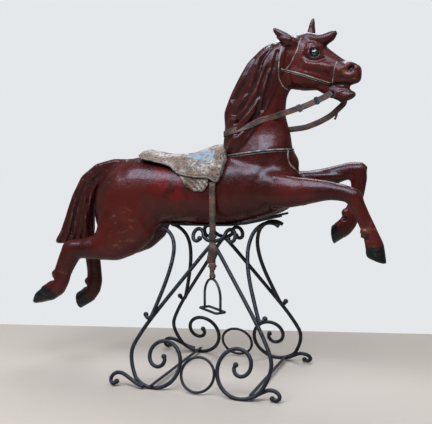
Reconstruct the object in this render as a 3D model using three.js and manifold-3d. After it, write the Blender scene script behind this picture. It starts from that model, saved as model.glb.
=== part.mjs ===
// A carved wooden carousel horse on its wrought iron stand.
// Millimetres, +Z up. The horse looks along +X, and its right side, the near side, faces -Y.
// Everything is drawn from the middle of the stand's foot, and the whole is then moved so
// that the origin lies on the floor below the middle of the finished work.
import * as THREE from 'three';
import { mergeVertices } from 'three/addons/utils/BufferGeometryUtils.js';
import Module from 'manifold-3d';

const wasm = await Module();
wasm.setup();

const NEAR = -1;
const FAR = 1;
const GAP = 0.3;            // clearance between pieces that touch

// ---- driving dimensions -------------------------------------------------------------

// barrel, from the buttocks to the breast: [x, back, belly, half width]
const BARREL = [
  [-523, 680, 626, 14],
  [-516, 730, 572, 54],
  [-494, 778, 546, 88],
  [-450, 818, 540, 114],
  [-395, 850, 548, 129],
  [-330, 866, 570, 134],
  [-240, 860, 598, 133],
  [-140, 854, 604, 130],
  [-30, 868, 602, 131],
  [70, 886, 606, 130],
  [150, 890, 624, 123],
  [215, 882, 645, 112],
  [268, 866, 664, 94],
  [302, 840, 690, 66],
  [318, 806, 724, 24],
];

// limbs and neck: [x, distance out from the middle, z, half depth, half width]
const NECK = [
  [164, 0, 800, 140, 96],
  [160, 0, 890, 136, 92],
  [158, 0, 965, 129, 78],
  [165, 0, 1050, 104, 66],
  [186, 0, 1125, 90, 60],
  [220, 0, 1190, 84, 56],
  [262, 0, 1242, 74, 52],
  [300, 0, 1266, 50, 44],
];
const HEAD = [
  [256, 1284, 1150, 30],
  [272, 1312, 1134, 44],
  [300, 1333, 1124, 51],
  [338, 1328, 1120, 55],
  [375, 1307, 1121, 56],
  [410, 1287, 1124, 51],
  [440, 1265, 1128, 43],
  [470, 1243, 1132, 37],
  [500, 1225, 1136, 36],
  [524, 1217, 1141, 34],
  [541, 1211, 1147, 29],
  [548, 1199, 1158, 18],
];
const LOWER_JAW = [
  [386, 0, 1142, 18, 34],
  [420, 0, 1128, 24, 33],
  [452, 0, 1112, 24, 29],
  [480, 0, 1102, 25, 26],
  [504, 0, 1102, 20, 25],
  [522, 0, 1106, 13, 21],
  [531, 0, 1108, 5, 12],
];
const CHIN_TUFT = [
  [470, 0, 1104, 20, 20],
  [480, 0, 1088, 17, 16],
  [482, 0, 1076, 9, 9],
  [482, 0, 1070, 3, 3],
];
const FOREARM_NEAR = [
  [180, 70, 765, 66, 46],
  [262, 86, 748, 70, 46],
  [330, 92, 748, 60, 42],
  [395, 94, 754, 47, 36],
  [450, 94, 756, 37, 31],
  [505, 94, 750, 33, 30],
  [548, 94, 738, 32, 31],
  [568, 94, 722, 24, 25],
];
const FOREARM_FAR = [
  [180, 70, 758, 66, 46],
  [262, 86, 752, 66, 46],
  [330, 92, 764, 54, 42],
  [395, 94, 786, 43, 36],
  [450, 94, 806, 36, 31],
  [500, 94, 822, 33, 30],
  [540, 94, 826, 30, 31],
  [558, 94, 818, 20, 24],
];
const THIGH = [
  [-262, 58, 735, 84, 58],
  [-312, 66, 680, 118, 66],
  [-362, 74, 610, 132, 66],
  [-405, 80, 552, 112, 60],
  [-440, 84, 520, 84, 54],
  [-484, 88, 502, 56, 47],
  [-545, 92, 494, 42, 38],
  [-600, 94, 492, 40, 35],
  [-630, 94, 490, 30, 30],
  [-640, 94, 488, 14, 16],
];

// legs below the knee or hock, down to the sole; the last number tilts a section, in degrees
const SHIN_NEAR_FORE = [
  [548, 94, 752, 24, 26, 0],
  [552, 94, 715, 33, 30, 0],
  [578, 94, 666, 29, 26, 0],
  [600, 94, 622, 29, 25, 0],
  [610, 94, 596, 31, 28, 0],
  [620, 94, 572, 34, 31, 4],
  [624, 94, 558, 37, 34, 8],
  [630, 94, 509, 41, 38, 26],
];
const SHIN_FAR_FORE = [
  [532, 94, 842, 22, 26, 0],
  [532, 94, 800, 33, 30, 0],
  [528, 94, 742, 29, 26, 0],
  [518, 94, 690, 30, 25, 0],
  [510, 94, 655, 33, 28, 0],
  [494, 94, 620, 34, 30, 0],
  [478, 94, 600, 36, 34, 0],
  [432, 94, 568, 39, 38, 26],
];
const SHIN_NEAR_HIND = [
  [-592, 94, 520, 28, 28, 0],
  [-606, 94, 470, 46, 34, 0],
  [-626, 94, 430, 42, 30, 0],
  [-643, 94, 392, 38, 28, 0],
  [-651, 94, 362, 36, 30, 0],
  [-670, 94, 328, 37, 31, 4],
  [-698, 94, 306, 38, 35, 12],
  [-735, 94, 293, 37, 37, 24],
  [-772, 94, 278, 31, 37, 38],
];
const SHIN_FAR_HIND = [
  [-600, 94, 520, 28, 28, 0],
  [-604, 94, 470, 42, 34, 0],
  [-602, 94, 420, 34, 30, 0],
  [-596, 94, 365, 33, 28, 0],
  [-595, 94, 326, 36, 30, 0],
  [-606, 94, 290, 37, 31, 0],
  [-626, 94, 262, 37, 34, 4],
  [-675, 94, 231, 39, 38, 18],
];
// the tuft behind each fetlock: [x, z, turn of its point in degrees]
const TUFT_HALF = [27, 16, 12];
const FETLOCK_TUFTS = {
  nearFore: [588, 604, 215],
  farFore: [488, 664, 235],
  nearHind: [-676, 372, 235],
  farHind: [-622, 322, 235],
};

// ears: [x, out, z, half thickness, half width] from root to tip
const EAR_NEAR = [
  [318, 32, 1288, 18, 18],
  [290, 44, 1302, 22, 19],
  [262, 52, 1322, 20, 16],
  [242, 57, 1338, 14, 11],
  [228, 60, 1350, 5, 5],
];
const EAR_FAR = [
  [342, 30, 1300, 18, 17],
  [351, 36, 1326, 19, 17],
  [355, 41, 1350, 15, 14],
  [357, 44, 1372, 10, 9],
  [358, 46, 1392, 4, 4],
];
const EAR_HOLLOW = { forward: 9, up: 8, share: 0.55 };
const FORELOCK = [
  [322, 0, 1316, 16, 20],
  [352, -4, 1320, 17, 26],
  [384, -8, 1306, 22, 29],
  [412, -10, 1306, 24, 28],
  [438, -10, 1320, 20, 24],
  [456, -10, 1334, 9, 12],
];

// mane locks on the near side: starts on the crest, [x, out, z] points, then root and tip size
const MANE_CREST = [
  [290, 0, 1292, 20, 18],
  [238, 8, 1286, 22, 20],
  [190, 12, 1256, 26, 24],
  [144, 14, 1210, 27, 26],
  [110, 14, 1156, 26, 26],
  [80, 14, 1096, 26, 26],
  [50, 12, 1030, 24, 24],
  [46, 8, 975, 14, 16],
];
const MANE_LOCKS = [
  [[262, 30, 1290], [214, 50, 1262], [168, 54, 1216], [128, 46, 1164], [94, 30, 1134]],
  [[270, 40, 1272], [236, 56, 1232], [194, 62, 1190], [138, 58, 1136], [84, 34, 1096]],
  [[248, 50, 1222], [222, 62, 1186], [190, 68, 1136], [134, 66, 1088], [70, 40, 1058]],
  [[218, 60, 1160], [196, 68, 1114], [164, 74, 1066], [112, 72, 1024], [52, 46, 1006]],
  [[182, 68, 1106], [158, 76, 1056], [130, 80, 1010], [92, 78, 972], [44, 56, 958]],
  [[136, 78, 1030], [122, 84, 988], [104, 88, 946], [82, 84, 916], [56, 72, 900]],
];
const LOCK = { root: 14, middle: 22, tip: 5, flat: 0.72, lead: 0.1 };

// tail: the strands fan out between its back edge and its front edge, [x, z] each
const TAIL_BACK = [
  [-372, 850], [-446, 852], [-526, 832], [-588, 782],
  [-632, 700], [-666, 612], [-692, 548], [-720, 508],
];
const TAIL_FRONT = [
  [-380, 836], [-436, 818], [-484, 784], [-524, 728],
  [-546, 660], [-553, 590], [-556, 535], [-556, 508],
];
const TAIL = {
  strands: 5, halfWidth: 42, groove: 0.68, edge: 0.3,
  rootFill: 0.55, fillStep: 0.12, tipFill: 0.8, tipDrop: 9,
};

// face
const EYE = { x: 384, out: 47, z: 1256, radius: 15 };
const MOUTH = [
  [450, 1138], [476, 1145], [512, 1139], [532, 1144], [570, 1154], [570, 1106], [528, 1113], [500, 1122],
  [470, 1127],
];
const MOUTH_REACH = 80;

// rounded forms of the face: place, half sizes along x, y and z, and lean in radians
const CHEEK = { x: 326, out: 27, z: 1184, half: [62, 31, 58], lean: 0 };
const BROW = { x: 376, out: 37, z: 1270, half: [36, 18, 18], lean: -0.45 };
const CHEEKBONE = { x: 408, out: 43, z: 1211, half: [48, 13, 11], lean: -0.3 };
const NOSTRIL = { x: 514, out: 23, z: 1203, half: [27, 17, 22], lean: -0.4 };
const NOSTRIL_HOLE = { x: 518, out: 39, z: 1202, half: [15, 10, 10], lean: 0.5 };
const TONGUE = { x: 480, out: 0, z: 1134, half: [32, 20, 12], lean: -0.15 };

// breast strap, carved as a raised band: [x, z] points laid on the skin of both sides
const BREAST_STRAP = [[78, 876], [140, 888], [200, 896], [252, 900], [290, 900]];
const BREAST_STRAP_RADIUS = 6;
const STRAP_STEP = 24;
const BREAST_PLATE = [
  [278, 0, 904, 10, 19],
  [292, 0, 880, 14, 38],
  [308, 0, 856, 14, 33],
  [310, 0, 824, 13, 19],
  [304, 0, 802, 7, 5],
];

// saddle: outer form as [x, top, half width], and its side outline as [x, z]
const SEAT = [
  [-326, 877, 120],
  [-310, 890, 134],
  [-290, 895, 140],
  [-262, 888, 143],
  [-200, 879, 143],
  [-140, 879, 142],
  [-85, 889, 142],
  [-40, 906, 142],
  [0, 919, 143],
  [40, 914, 143],
  [84, 906, 142],
];
const SEAT_BOTTOM = 600;
const SEAT_ROUND = { sides: 20, fullness: 2.35 };
const SKIRT_OUTLINE = [
  [-324, 1000], [-320, 876], [-290, 863], [-230, 850], [-166, 834], [-120, 806],
  [-58, 796], [2, 794], [30, 780], [42, 780], [56, 812], [60, 860], [50, 900], [20, 1000],
];
const FLAP_OUTLINE = [
  [-128, 850], [-122, 806], [-90, 758], [-58, 742], [-18, 742], [2, 766], [10, 850],
];
const FLAP_DEPTH = 7;
const FLAP_REACH = { inner: 60, outer: 200 };
const SKIRT_REACH = 200;

// stirrup leather and iron, left on the near side only
const STRAP = { x: 20, out: 135, top: 778, bottom: 452, width: 26, thickness: 5 };
const STRAP_END = { x: 16, out: 141, top: 500, bottom: 420, width: 20, thickness: 3 };
const KNOT = { x: 20, out: 135, z: 509, half: [19, 11, 39], lean: 0 };
const IRON = {
  turn: -40, eye: 423, eyeRadius: 9, eyeWire: 3.2, shoulder: 412, arch: 62, tread: 292,
  halfWidth: 58, narrowing: 0.08, steps: 8, treadHalfDepth: 20, wire: 4,
};

// reins: a strap round the neck, free from the throat to the bit
const REIN = { width: 22, thickness: 4, lift: 5 };
const REIN_AXIS = { x: 150, backX: 40, backZ: 960, reach: 120, riseNear: 0.3, riseFar: 0.055 };
const REIN_TURNS = [179, 154, 129, 104, 79, 54, 29];
const REIN_NEAR_FREE = [
  [316, 68, 1050], [350, 66, 1061], [385, 64, 1076], [414, 62, 1089], [434, 60, 1099],
];
const REIN_FAR_FREE = [
  [316, 70, 982], [350, 69, 992], [386, 67, 1007], [424, 65, 1028], [450, 63, 1050], [474, 62, 1074],
  [476, 61, 1090], [462, 60, 1102],
];
const KEEPER = { length: 12, spare: 6, out: 65, places: [[334, 1055], [398, 1082]] };
const BIT = { x: 452, z: 1120, out: 56, ringRadius: 13, wire: 3.5 };

// stand: two leaning frames of round bar, the bars of each in two layers side by side
const STAND = { foot: 275, lean: 0.385, bar: 7, layer: 7.4 };
const SPIRAL = { x: 157, z: 108, inner: 16, outer: 132, from: 225, to: 735, power: 1.3, step: 34 };
const LEG_STRAIGHT = [[262, 178], [214, 255], [88, 428], [8, 533]];
const LEG_NECK = [[-26, 552], [-40, 564]];
const TOP_SCROLL = { x: -62, z: 565, wide: 21, high: 26, from: 15, to: 310, steps: 9, tuck: 0.5 };
const BALL = 10.5;
const FLOOR = { size: 2000, depth: 50 };
const BRACE_FRONT = [
  [234, 279], [226, 268], [212, 272], [200, 298], [182, 345], [162, 400], [146, 460], [140, 515],
  [145, 556], [158, 588], [180, 610], [206, 621], [232, 620], [251, 610],
];
const BRACE_BACK = [
  [236, 265], [228, 254], [214, 258], [204, 284], [188, 334], [172, 390], [160, 445], [155, 500],
  [162, 540], [178, 566], [200, 583], [222, 589],
];
const FOOT_SCROLL_FRONT = [
  [206, 11], [230, 19], [254, 31], [276, 40], [300, 38], [316, 27], [317, 15], [305, 9], [292, 13],
];
const FOOT_SCROLL_BACK = [
  [206, 11], [240, 22], [272, 38], [300, 50], [324, 50], [341, 37], [343, 20], [331, 11], [319, 20],
];
const RING = { z: 69, radius: 65, wire: 5, sides: 5, steps: 16 };
const RAIL = [
  [-226, 606], [-120, 605], [-20, 607], [70, 611], [130, 619], [180, 631], [225, 643], [266, 653],
];
const RAIL_OUT = 50;
const RAIL_HALF = { width: 9, thickness: 4 };
const CROSS_BAR = {
  front: { x: 210, halfLength: 258 },
  back: { x: -176, halfLength: 278 },
  halfWidth: 10, bottom: 14.5, thickness: 6,
};

// how finely the large rounded forms are cut; fullness 2 is an ellipse and more is squarer
const ROUND = {
  barrel: { sides: 20 },
  neck: { sides: 14 },
  skull: { sides: 14, fullness: 2.3 },
  jaw: { sides: 8 },
  forearm: { sides: 10 },
  thigh: { sides: 12, fullness: 2 },
  shin: { sides: 9 },
  tuft: { sides: 6 },
  ear: { sides: 7 },
  lock: { sides: 6 },
  crest: { sides: 8 },
  forelock: { sides: 8 },
  plate: { sides: 8 },
};
const RAY_START = 400;

// ---- colours ------------------------------------------------------------------------

const PAINT = new THREE.Color(0.2, 0.05, 0.045);
const SADDLE_HIDE = new THREE.Color(0.42, 0.37, 0.31);
const STRAP_LEATHER = new THREE.Color(0.24, 0.13, 0.08);
const BLACK_IRON = new THREE.Color(0.03, 0.035, 0.04);
const DARK_GLASS = new THREE.Color(0.02, 0.02, 0.025);

function finish(color, roughness, metalness) {
  return new THREE.MeshStandardMaterial({ color, roughness, metalness });
}

// ---- solids -------------------------------------------------------------------------

// closed geometry to manifold solid, turned right side out if it was drawn inside out
function solidOf(geometry) {
  const bare = geometry.clone();
  bare.deleteAttribute('normal');
  bare.deleteAttribute('uv');
  const merged = mergeVertices(bare, 1e-3);
  const points = new Float32Array(merged.attributes.position.array);
  const faces = new Uint32Array(merged.index.array);
  const make = (triangles) => new wasm.Manifold(
    new wasm.Mesh({ numProp: 3, vertProperties: points, triVerts: triangles }));
  const solid = make(faces);
  if (solid.volume() > 0) {
    return solid;
  }
  const turned = faces.slice();
  for (let i = 0; i < turned.length; i += 3) {
    [turned[i], turned[i + 1]] = [turned[i + 1], turned[i]];
  }
  return make(turned);
}

function geometryOf(solid) {
  const mesh = solid.getMesh();
  const geometry = new THREE.BufferGeometry();
  geometry.setAttribute('position', new THREE.BufferAttribute(new Float32Array(mesh.vertProperties), 3));
  geometry.setIndex(new THREE.BufferAttribute(new Uint32Array(mesh.triVerts), 1));
  return geometry;
}

function join(solids) {
  return solids.reduce((whole, solid) => whole.add(solid));
}

// a solid with any pocket closed in between its members filled
function filled(solid) {
  return solid.decompose().reduce((outer, part) => (part.volume() > outer.volume() ? part : outer));
}

// cuts a neighbour out of a piece with a clearance all round
function clearOf(piece, neighbour, gap = GAP) {
  const shifts = [[gap, 0, 0], [-gap, 0, 0], [0, gap, 0], [0, -gap, 0], [0, 0, gap], [0, 0, -gap]];
  return shifts.reduce((left, [x, y, z]) => {
    const shifted = geometryOf(neighbour);
    shifted.translate(x, y, z);
    return left.subtract(solidOf(shifted));
  }, piece);
}

// closed skin over rings of points, with a fan over each end
function skin(rings) {
  const count = rings[0].length;
  const points = rings.flat();
  const middle = (ring) => ring.reduce((sum, p) => sum.clone().add(p), new THREE.Vector3())
    .divideScalar(count);
  const faces = [];
  for (let r = 0; r + 1 < rings.length; r += 1) {
    for (let i = 0; i < count; i += 1) {
      const a = r * count + i;
      const b = r * count + (i + 1) % count;
      faces.push(a, b, a + count, b, b + count, a + count);
    }
  }
  const start = points.length;
  const last = (rings.length - 1) * count;
  points.push(middle(rings[0]), middle(rings[rings.length - 1]));
  for (let i = 0; i < count; i += 1) {
    const next = (i + 1) % count;
    faces.push(start, next, i);
    faces.push(start + 1, last + i, last + next);
  }
  const geometry = new THREE.BufferGeometry().setFromPoints(points);
  geometry.setIndex(faces);
  return solidOf(geometry);
}

// Catmull-Rom easing of every column of a table
function eased(rows, perSpan) {
  const out = [];
  for (let i = 0; i + 1 < rows.length; i += 1) {
    const before = rows[Math.max(i - 1, 0)];
    const after = rows[Math.min(i + 2, rows.length - 1)];
    for (let k = 0; k < perSpan; k += 1) {
      const t = k / perSpan;
      out.push(rows[i].map((value, c) => 0.5 * (2 * value + (rows[i + 1][c] - before[c]) * t
        + (2 * before[c] - 5 * value + 4 * rows[i + 1][c] - after[c]) * t * t
        + (3 * value - before[c] - 3 * rows[i + 1][c] + after[c]) * t * t * t)));
    }
  }
  out.push(rows[rows.length - 1]);
  return out;
}

// one rounded section
function section(centre, side, up, halfWidth, halfHeight, sides, fullness) {
  const ring = [];
  for (let i = 0; i < sides; i += 1) {
    const angle = (i + 0.5) * 2 * Math.PI / sides;
    const c = Math.cos(angle);
    const s = Math.sin(angle);
    const across = Math.sign(c) * Math.abs(c) ** (2 / fullness) * halfWidth;
    const high = Math.sign(s) * Math.abs(s) ** (2 / fullness) * halfHeight;
    ring.push(centre.clone().addScaledVector(side, across).addScaledVector(up, high));
  }
  return ring;
}

const ACROSS = new THREE.Vector3(0, 1, 0);
const UP = new THREE.Vector3(0, 0, 1);

// a form cut by upright sections: rows of [x, top, bottom, half width]
function hull(rows, { sides = 16, perSpan = 1, fullness = 2.2 } = {}) {
  return skin(eased(rows, perSpan).map(([x, top, bottom, halfWidth]) => {
    const centre = new THREE.Vector3(x, 0, (top + bottom) / 2);
    return section(centre, ACROSS, UP, halfWidth, (top - bottom) / 2, sides, fullness);
  }));
}

// a form whose sections stand square to its path: rows of [x, out, z, half depth, half width, tilt]
function limb(rows, side = FAR, { sides = 12, perSpan = 1, fullness = 2.2 } = {}) {
  const path = eased(rows, perSpan);
  const rings = path.map(([x, out, z, halfDepth, halfWidth, tilt = 0], i) => {
    const before = path[Math.max(i - 1, 0)];
    const after = path[Math.min(i + 1, path.length - 1)];
    const along = new THREE.Vector3(
      after[0] - before[0], side * (after[1] - before[1]), after[2] - before[2]);
    const through = new THREE.Vector3().crossVectors(along, ACROSS).normalize();
    const sideways = new THREE.Vector3().crossVectors(through, along).normalize();
    through.applyAxisAngle(ACROSS, THREE.MathUtils.degToRad(tilt));
    const centre = new THREE.Vector3(x, side * out, z);
    return section(centre, sideways, through, halfWidth, halfDepth, sides, fullness);
  });
  return skin(rings);
}

function ellipsoid(x, y, z, halfX, halfY, halfZ, turn = 0, widthSegments = 12, heightSegments = 8) {
  const geometry = new THREE.SphereGeometry(1, widthSegments, heightSegments);
  geometry.scale(halfX, halfY, halfZ);
  geometry.rotateY(-turn);
  geometry.translate(x, y, z);
  return solidOf(geometry);
}

// a path whose steps fall on the points that were drawn
class DrawnPath extends THREE.Curve {
  constructor(points) {
    super();
    this.points = points;
  }

  getUtoTmapping(u) {
    return u;
  }

  getPoint(t, target = new THREE.Vector3()) {
    const place = Math.min(Math.max(t, 0), 1) * (this.points.length - 1);
    const index = Math.min(Math.floor(place), this.points.length - 2);
    return target.copy(this.points[index]).lerp(this.points[index + 1], place - index);
  }
}

function sweep(points, outline) {
  return solidOf(new THREE.ExtrudeGeometry(new THREE.Shape(outline), {
    steps: points.length - 1, bevelEnabled: false, extrudePath: new DrawnPath(points),
  }));
}

function roundBar(points, radius, sides = 5) {
  const outline = [];
  for (let i = 0; i < sides; i += 1) {
    const angle = i * 2 * Math.PI / sides;
    outline.push(new THREE.Vector2(radius * Math.cos(angle), radius * Math.sin(angle)));
  }
  return sweep(points, outline);
}

// an outline drawn on the side view, [x, z], carried from y0 to y1
function sidePrism(outline, y0, y1) {
  const shape = new THREE.Shape(outline.map(([x, z]) => new THREE.Vector2(x, z)));
  const geometry = new THREE.ExtrudeGeometry(shape, { depth: y1 - y0, bevelEnabled: false });
  geometry.rotateX(Math.PI / 2);
  geometry.translate(0, y1, 0);
  return solidOf(geometry);
}

// finds where a ray meets a solid
function rayFinder(solid) {
  const target = new THREE.Mesh(geometryOf(solid), new THREE.MeshBasicMaterial({ side: THREE.DoubleSide }));
  const caster = new THREE.Raycaster();
  return (from, direction) => {
    caster.set(from, direction.clone().normalize());
    const hits = caster.intersectObject(target);
    return hits.length > 0 ? hits[0] : null;
  };
}

// lays [x, z] points on one side of a solid
function laidOnSide(find, points, side) {
  const laid = [];
  for (const [x, z] of points) {
    const hit = find(new THREE.Vector3(x, side * RAY_START, z), new THREE.Vector3(0, -side, 0));
    if (hit) {
      laid.push(hit.point.clone());
    }
  }
  return laid;
}

// ---- horse --------------------------------------------------------------------------

// a rounded form on one side of the middle
function mound({ x, out, z, half, lean }, side) {
  return ellipsoid(x, side * out, z, ...half, lean, 7, 4);
}

function mounds(forms) {
  return forms.flatMap((form) => [NEAR, FAR].map((side) => mound(form, side)));
}

function foot(shin, [x, z, turn], side) {
  const lean = THREE.MathUtils.degToRad(turn);
  const tuft = mound({ x, out: shin[0][1], z, half: TUFT_HALF, lean }, side);
  return limb(shin, side, ROUND.shin).add(tuft);
}

function legs() {
  return [
    limb(FOREARM_NEAR, NEAR, ROUND.forearm),
    limb(FOREARM_FAR, FAR, ROUND.forearm),
    limb(THIGH, NEAR, ROUND.thigh),
    limb(THIGH, FAR, ROUND.thigh),
    foot(SHIN_NEAR_FORE, FETLOCK_TUFTS.nearFore, NEAR),
    foot(SHIN_FAR_FORE, FETLOCK_TUFTS.farFore, FAR),
    foot(SHIN_NEAR_HIND, FETLOCK_TUFTS.nearHind, NEAR),
    foot(SHIN_FAR_HIND, FETLOCK_TUFTS.farHind, FAR),
  ];
}

function glassEye(side, gap = 0) {
  const radius = EYE.radius + gap;
  return ellipsoid(EYE.x, side * EYE.out, EYE.z, radius, radius, radius, 0, 8, 6);
}

function head() {
  const upper = join([hull(HEAD, ROUND.skull), ...mounds([CHEEK, BROW, CHEEKBONE, NOSTRIL])])
    .subtract(sidePrism(MOUTH, -MOUTH_REACH, MOUTH_REACH))
    .subtract(join(mounds([NOSTRIL_HOLE])));
  const lower = join([limb(LOWER_JAW, FAR, ROUND.jaw), limb(CHIN_TUFT, FAR, ROUND.tuft)]);
  return join([upper, lower, mound(TONGUE, FAR)])
    .subtract(join([NEAR, FAR].map((side) => glassEye(side, GAP))));
}

function ear(rows, side) {
  const { forward, up, share } = EAR_HOLLOW;
  const hollow = rows.slice(1).map(([x, out, z, depth, width]) => [
    x + forward, out, z + up, depth * share, width * share]);
  return limb(rows, side, ROUND.ear).subtract(limb(hollow, side, ROUND.lock));
}

function lock(points, gap = 0) {
  const last = points.length - 1;
  const rows = points.map(([x, out, z], i) => {
    const share = i / last;
    const bulge = LOCK.middle * Math.sin(Math.PI * (LOCK.lead + share * (1 - LOCK.lead)));
    const size = Math.max(bulge, LOCK.root * (1 - share) + LOCK.tip * share);
    return [x, out, z, size + gap, size * LOCK.flat + gap];
  });
  return limb(rows, NEAR, ROUND.lock);
}

function mane() {
  return [limb(MANE_CREST, NEAR, ROUND.crest), ...MANE_LOCKS.map((points) => lock(points))];
}

// the tail is one fluted form: each strand stands out as a ridge between two grooves
function tail() {
  const steps = 2 * TAIL.strands;
  const rings = TAIL_BACK.map(([x, z], i) => {
    const [frontX, frontZ] = TAIL_FRONT[i];
    const atTip = i === TAIL_BACK.length - 1;
    const half = Math.min(1, TAIL.rootFill + i * TAIL.fillStep) * TAIL.halfWidth * (atTip ? TAIL.tipFill : 1);
    const point = (place, side) => {
      const ridge = place % 2 === 1;
      const edge = place === 0 || place === steps;
      const groove = edge ? TAIL.edge : TAIL.groove;
      const share = place / steps;
      const drop = atTip && ridge ? TAIL.tipDrop : 0;
      return new THREE.Vector3(
        x + (frontX - x) * share, side * half * (ridge ? 1 : groove), z + (frontZ - z) * share - drop);
    };
    const places = Array.from({ length: steps + 1 }, (_, place) => place);
    return [
      ...places.map((place) => point(place, NEAR)),
      ...places.reverse().map((place) => point(place, FAR)),
    ];
  });
  return skin(rings);
}

function breastStrap(find, side) {
  const line = [];
  for (let x = BREAST_STRAP[0][0]; x <= BREAST_STRAP[BREAST_STRAP.length - 1][0]; x += STRAP_STEP) {
    const next = BREAST_STRAP.findIndex(([place]) => place >= x) || 1;
    const [x0, z0] = BREAST_STRAP[next - 1];
    const [x1, z1] = BREAST_STRAP[next];
    line.push([x, z0 + (z1 - z0) * (x - x0) / (x1 - x0)]);
  }
  return roundBar(laidOnSide(find, line, side), BREAST_STRAP_RADIUS, 5);
}

function carvedHorse() {
  const trunk = join([hull(BARREL, ROUND.barrel), limb(NECK, FAR, ROUND.neck)]);
  const find = rayFinder(trunk);
  return filled(join([
    trunk,
    ...legs(),
    limb(BREAST_PLATE, FAR, ROUND.plate),
    breastStrap(find, NEAR),
    breastStrap(find, FAR),
    head(),
    ear(EAR_NEAR, NEAR),
    ear(EAR_FAR, FAR),
    limb(FORELOCK, FAR, ROUND.forelock),
    ...mane(),
    tail(),
  ]));
}

// what the saddle lies on, larger by a clearance
function saddleBed(gap) {
  const wider = (rows) => rows.map(([x, out, z, depth, width]) => [x, out, z, depth + gap, width + gap]);
  return join([
    hull(BARREL.map(([x, back, belly, half]) => [x, back + gap, belly - gap, half + gap]), ROUND.barrel),
    limb(wider(NECK), FAR, ROUND.neck),
    limb(wider(MANE_CREST), NEAR, ROUND.crest),
    limb(wider(THIGH), NEAR, ROUND.thigh),
    limb(wider(THIGH), FAR, ROUND.thigh),
    lock(MANE_LOCKS[MANE_LOCKS.length - 1], gap),
  ]);
}

// ---- saddle and harness leather -----------------------------------------------------

function seatForm(shrink) {
  const rows = SEAT.map(([x, top, halfWidth]) => [x, top - shrink, SEAT_BOTTOM + shrink, halfWidth - shrink]);
  return hull(rows, SEAT_ROUND);
}

function saddleFlap(side, bed, gap = 0) {
  const centre = [0, 1].map((axis) => (
    FLAP_OUTLINE.reduce((sum, point) => sum + point[axis], 0) / FLAP_OUTLINE.length));
  const outline = FLAP_OUTLINE.map(([x, z]) => [
    x + gap * Math.sign(x - centre[0]), z + gap * Math.sign(z - centre[1])]);
  const { inner, outer } = FLAP_REACH;
  const reach = side === NEAR ? [-outer, -inner] : [inner, outer];
  return seatForm(FLAP_DEPTH - gap).intersect(sidePrism(outline, ...reach)).subtract(bed);
}

function saddleSeat(bed) {
  const pockets = [NEAR, FAR].map((side) => saddleFlap(side, bed, GAP));
  return seatForm(0)
    .intersect(sidePrism(SKIRT_OUTLINE, -SKIRT_REACH, SKIRT_REACH))
    .subtract(bed)
    .subtract(join(pockets));
}

// flat strap with its broad face square to the given normals
function ribbon(points, normals, width, thickness) {
  const rings = points.map((point, i) => {
    const before = points[Math.max(i - 1, 0)];
    const after = points[Math.min(i + 1, points.length - 1)];
    const along = after.clone().sub(before).normalize();
    const broad = new THREE.Vector3().crossVectors(along, normals[i]).normalize();
    const thin = new THREE.Vector3().crossVectors(broad, along).normalize();
    return [[1, 1], [1, -1], [-1, -1], [-1, 1]].map(([b, t]) => point.clone()
      .addScaledVector(broad, b * width / 2).addScaledVector(thin, t * thickness / 2));
  });
  return skin(rings);
}

// a rein goes from the crest round its side of the neck, then straight to the bit
function rein(side, free, rise) {
  const find = rayFinder(horse);
  const points = [];
  const normals = [];
  for (const turn of REIN_TURNS) {
    const angle = THREE.MathUtils.degToRad(turn);
    const outward = new THREE.Vector3(Math.cos(angle), side * Math.sin(angle), 0);
    const height = REIN_AXIS.backZ
      + rise * (REIN_AXIS.x - REIN_AXIS.backX + REIN_AXIS.reach * Math.cos(angle));
    const from = new THREE.Vector3(REIN_AXIS.x, 0, height).addScaledVector(outward, RAY_START);
    const hit = find(from, outward.clone().negate());
    points.push(hit.point.clone().addScaledVector(outward, REIN.thickness / 2 + REIN.lift));
    normals.push(outward);
  }
  for (const [x, out, z] of free) {
    points.push(new THREE.Vector3(x, side * out, z));
    normals.push(ACROSS.clone().multiplyScalar(side));
  }
  return clearOf(clearOf(ribbon(points, normals, REIN.width, REIN.thickness), horse), bitSolid);
}

function box(x, y, z, sizeX, sizeY, sizeZ, turn = 0) {
  const geometry = new THREE.BoxGeometry(sizeX, sizeY, sizeZ);
  geometry.rotateY(turn);
  geometry.translate(x, y, z);
  return solidOf(geometry);
}

function keeper([x, z], strap) {
  const [fromX, , fromZ] = REIN_NEAR_FREE[1];
  const [toX, , toZ] = REIN_NEAR_FREE[3];
  const turn = -Math.atan2(toZ - fromZ, toX - fromX);
  const { length, spare, out } = KEEPER;
  return clearOf(box(x, NEAR * out, z, length, REIN.thickness + spare, REIN.width + spare, turn), strap);
}

function wireRing(x, y, z, radius, wire, radialSegments, tubularSegments) {
  const geometry = new THREE.TorusGeometry(radius, wire, radialSegments, tubularSegments);
  geometry.rotateX(Math.PI / 2);
  geometry.translate(x, y, z);
  return solidOf(geometry);
}

function bitBar(gap = 0) {
  return roundBar([NEAR, FAR].map((side) => new THREE.Vector3(BIT.x, side * BIT.out, BIT.z)), BIT.wire + gap);
}

function bit() {
  return join([bitBar(), ...[NEAR, FAR].map((side) => wireRing(
    BIT.x, side * BIT.out, BIT.z - BIT.ringRadius, BIT.ringRadius, BIT.wire, 4, 10))]);
}

function hangingStrap({ x, out, top, bottom, width, thickness }) {
  return box(x, NEAR * out, (top + bottom) / 2, width, thickness, top - bottom);
}

function stirrupLeather() {
  return join([hangingStrap(STRAP), mound(KNOT, NEAR), hangingStrap(STRAP_END)]);
}

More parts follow.
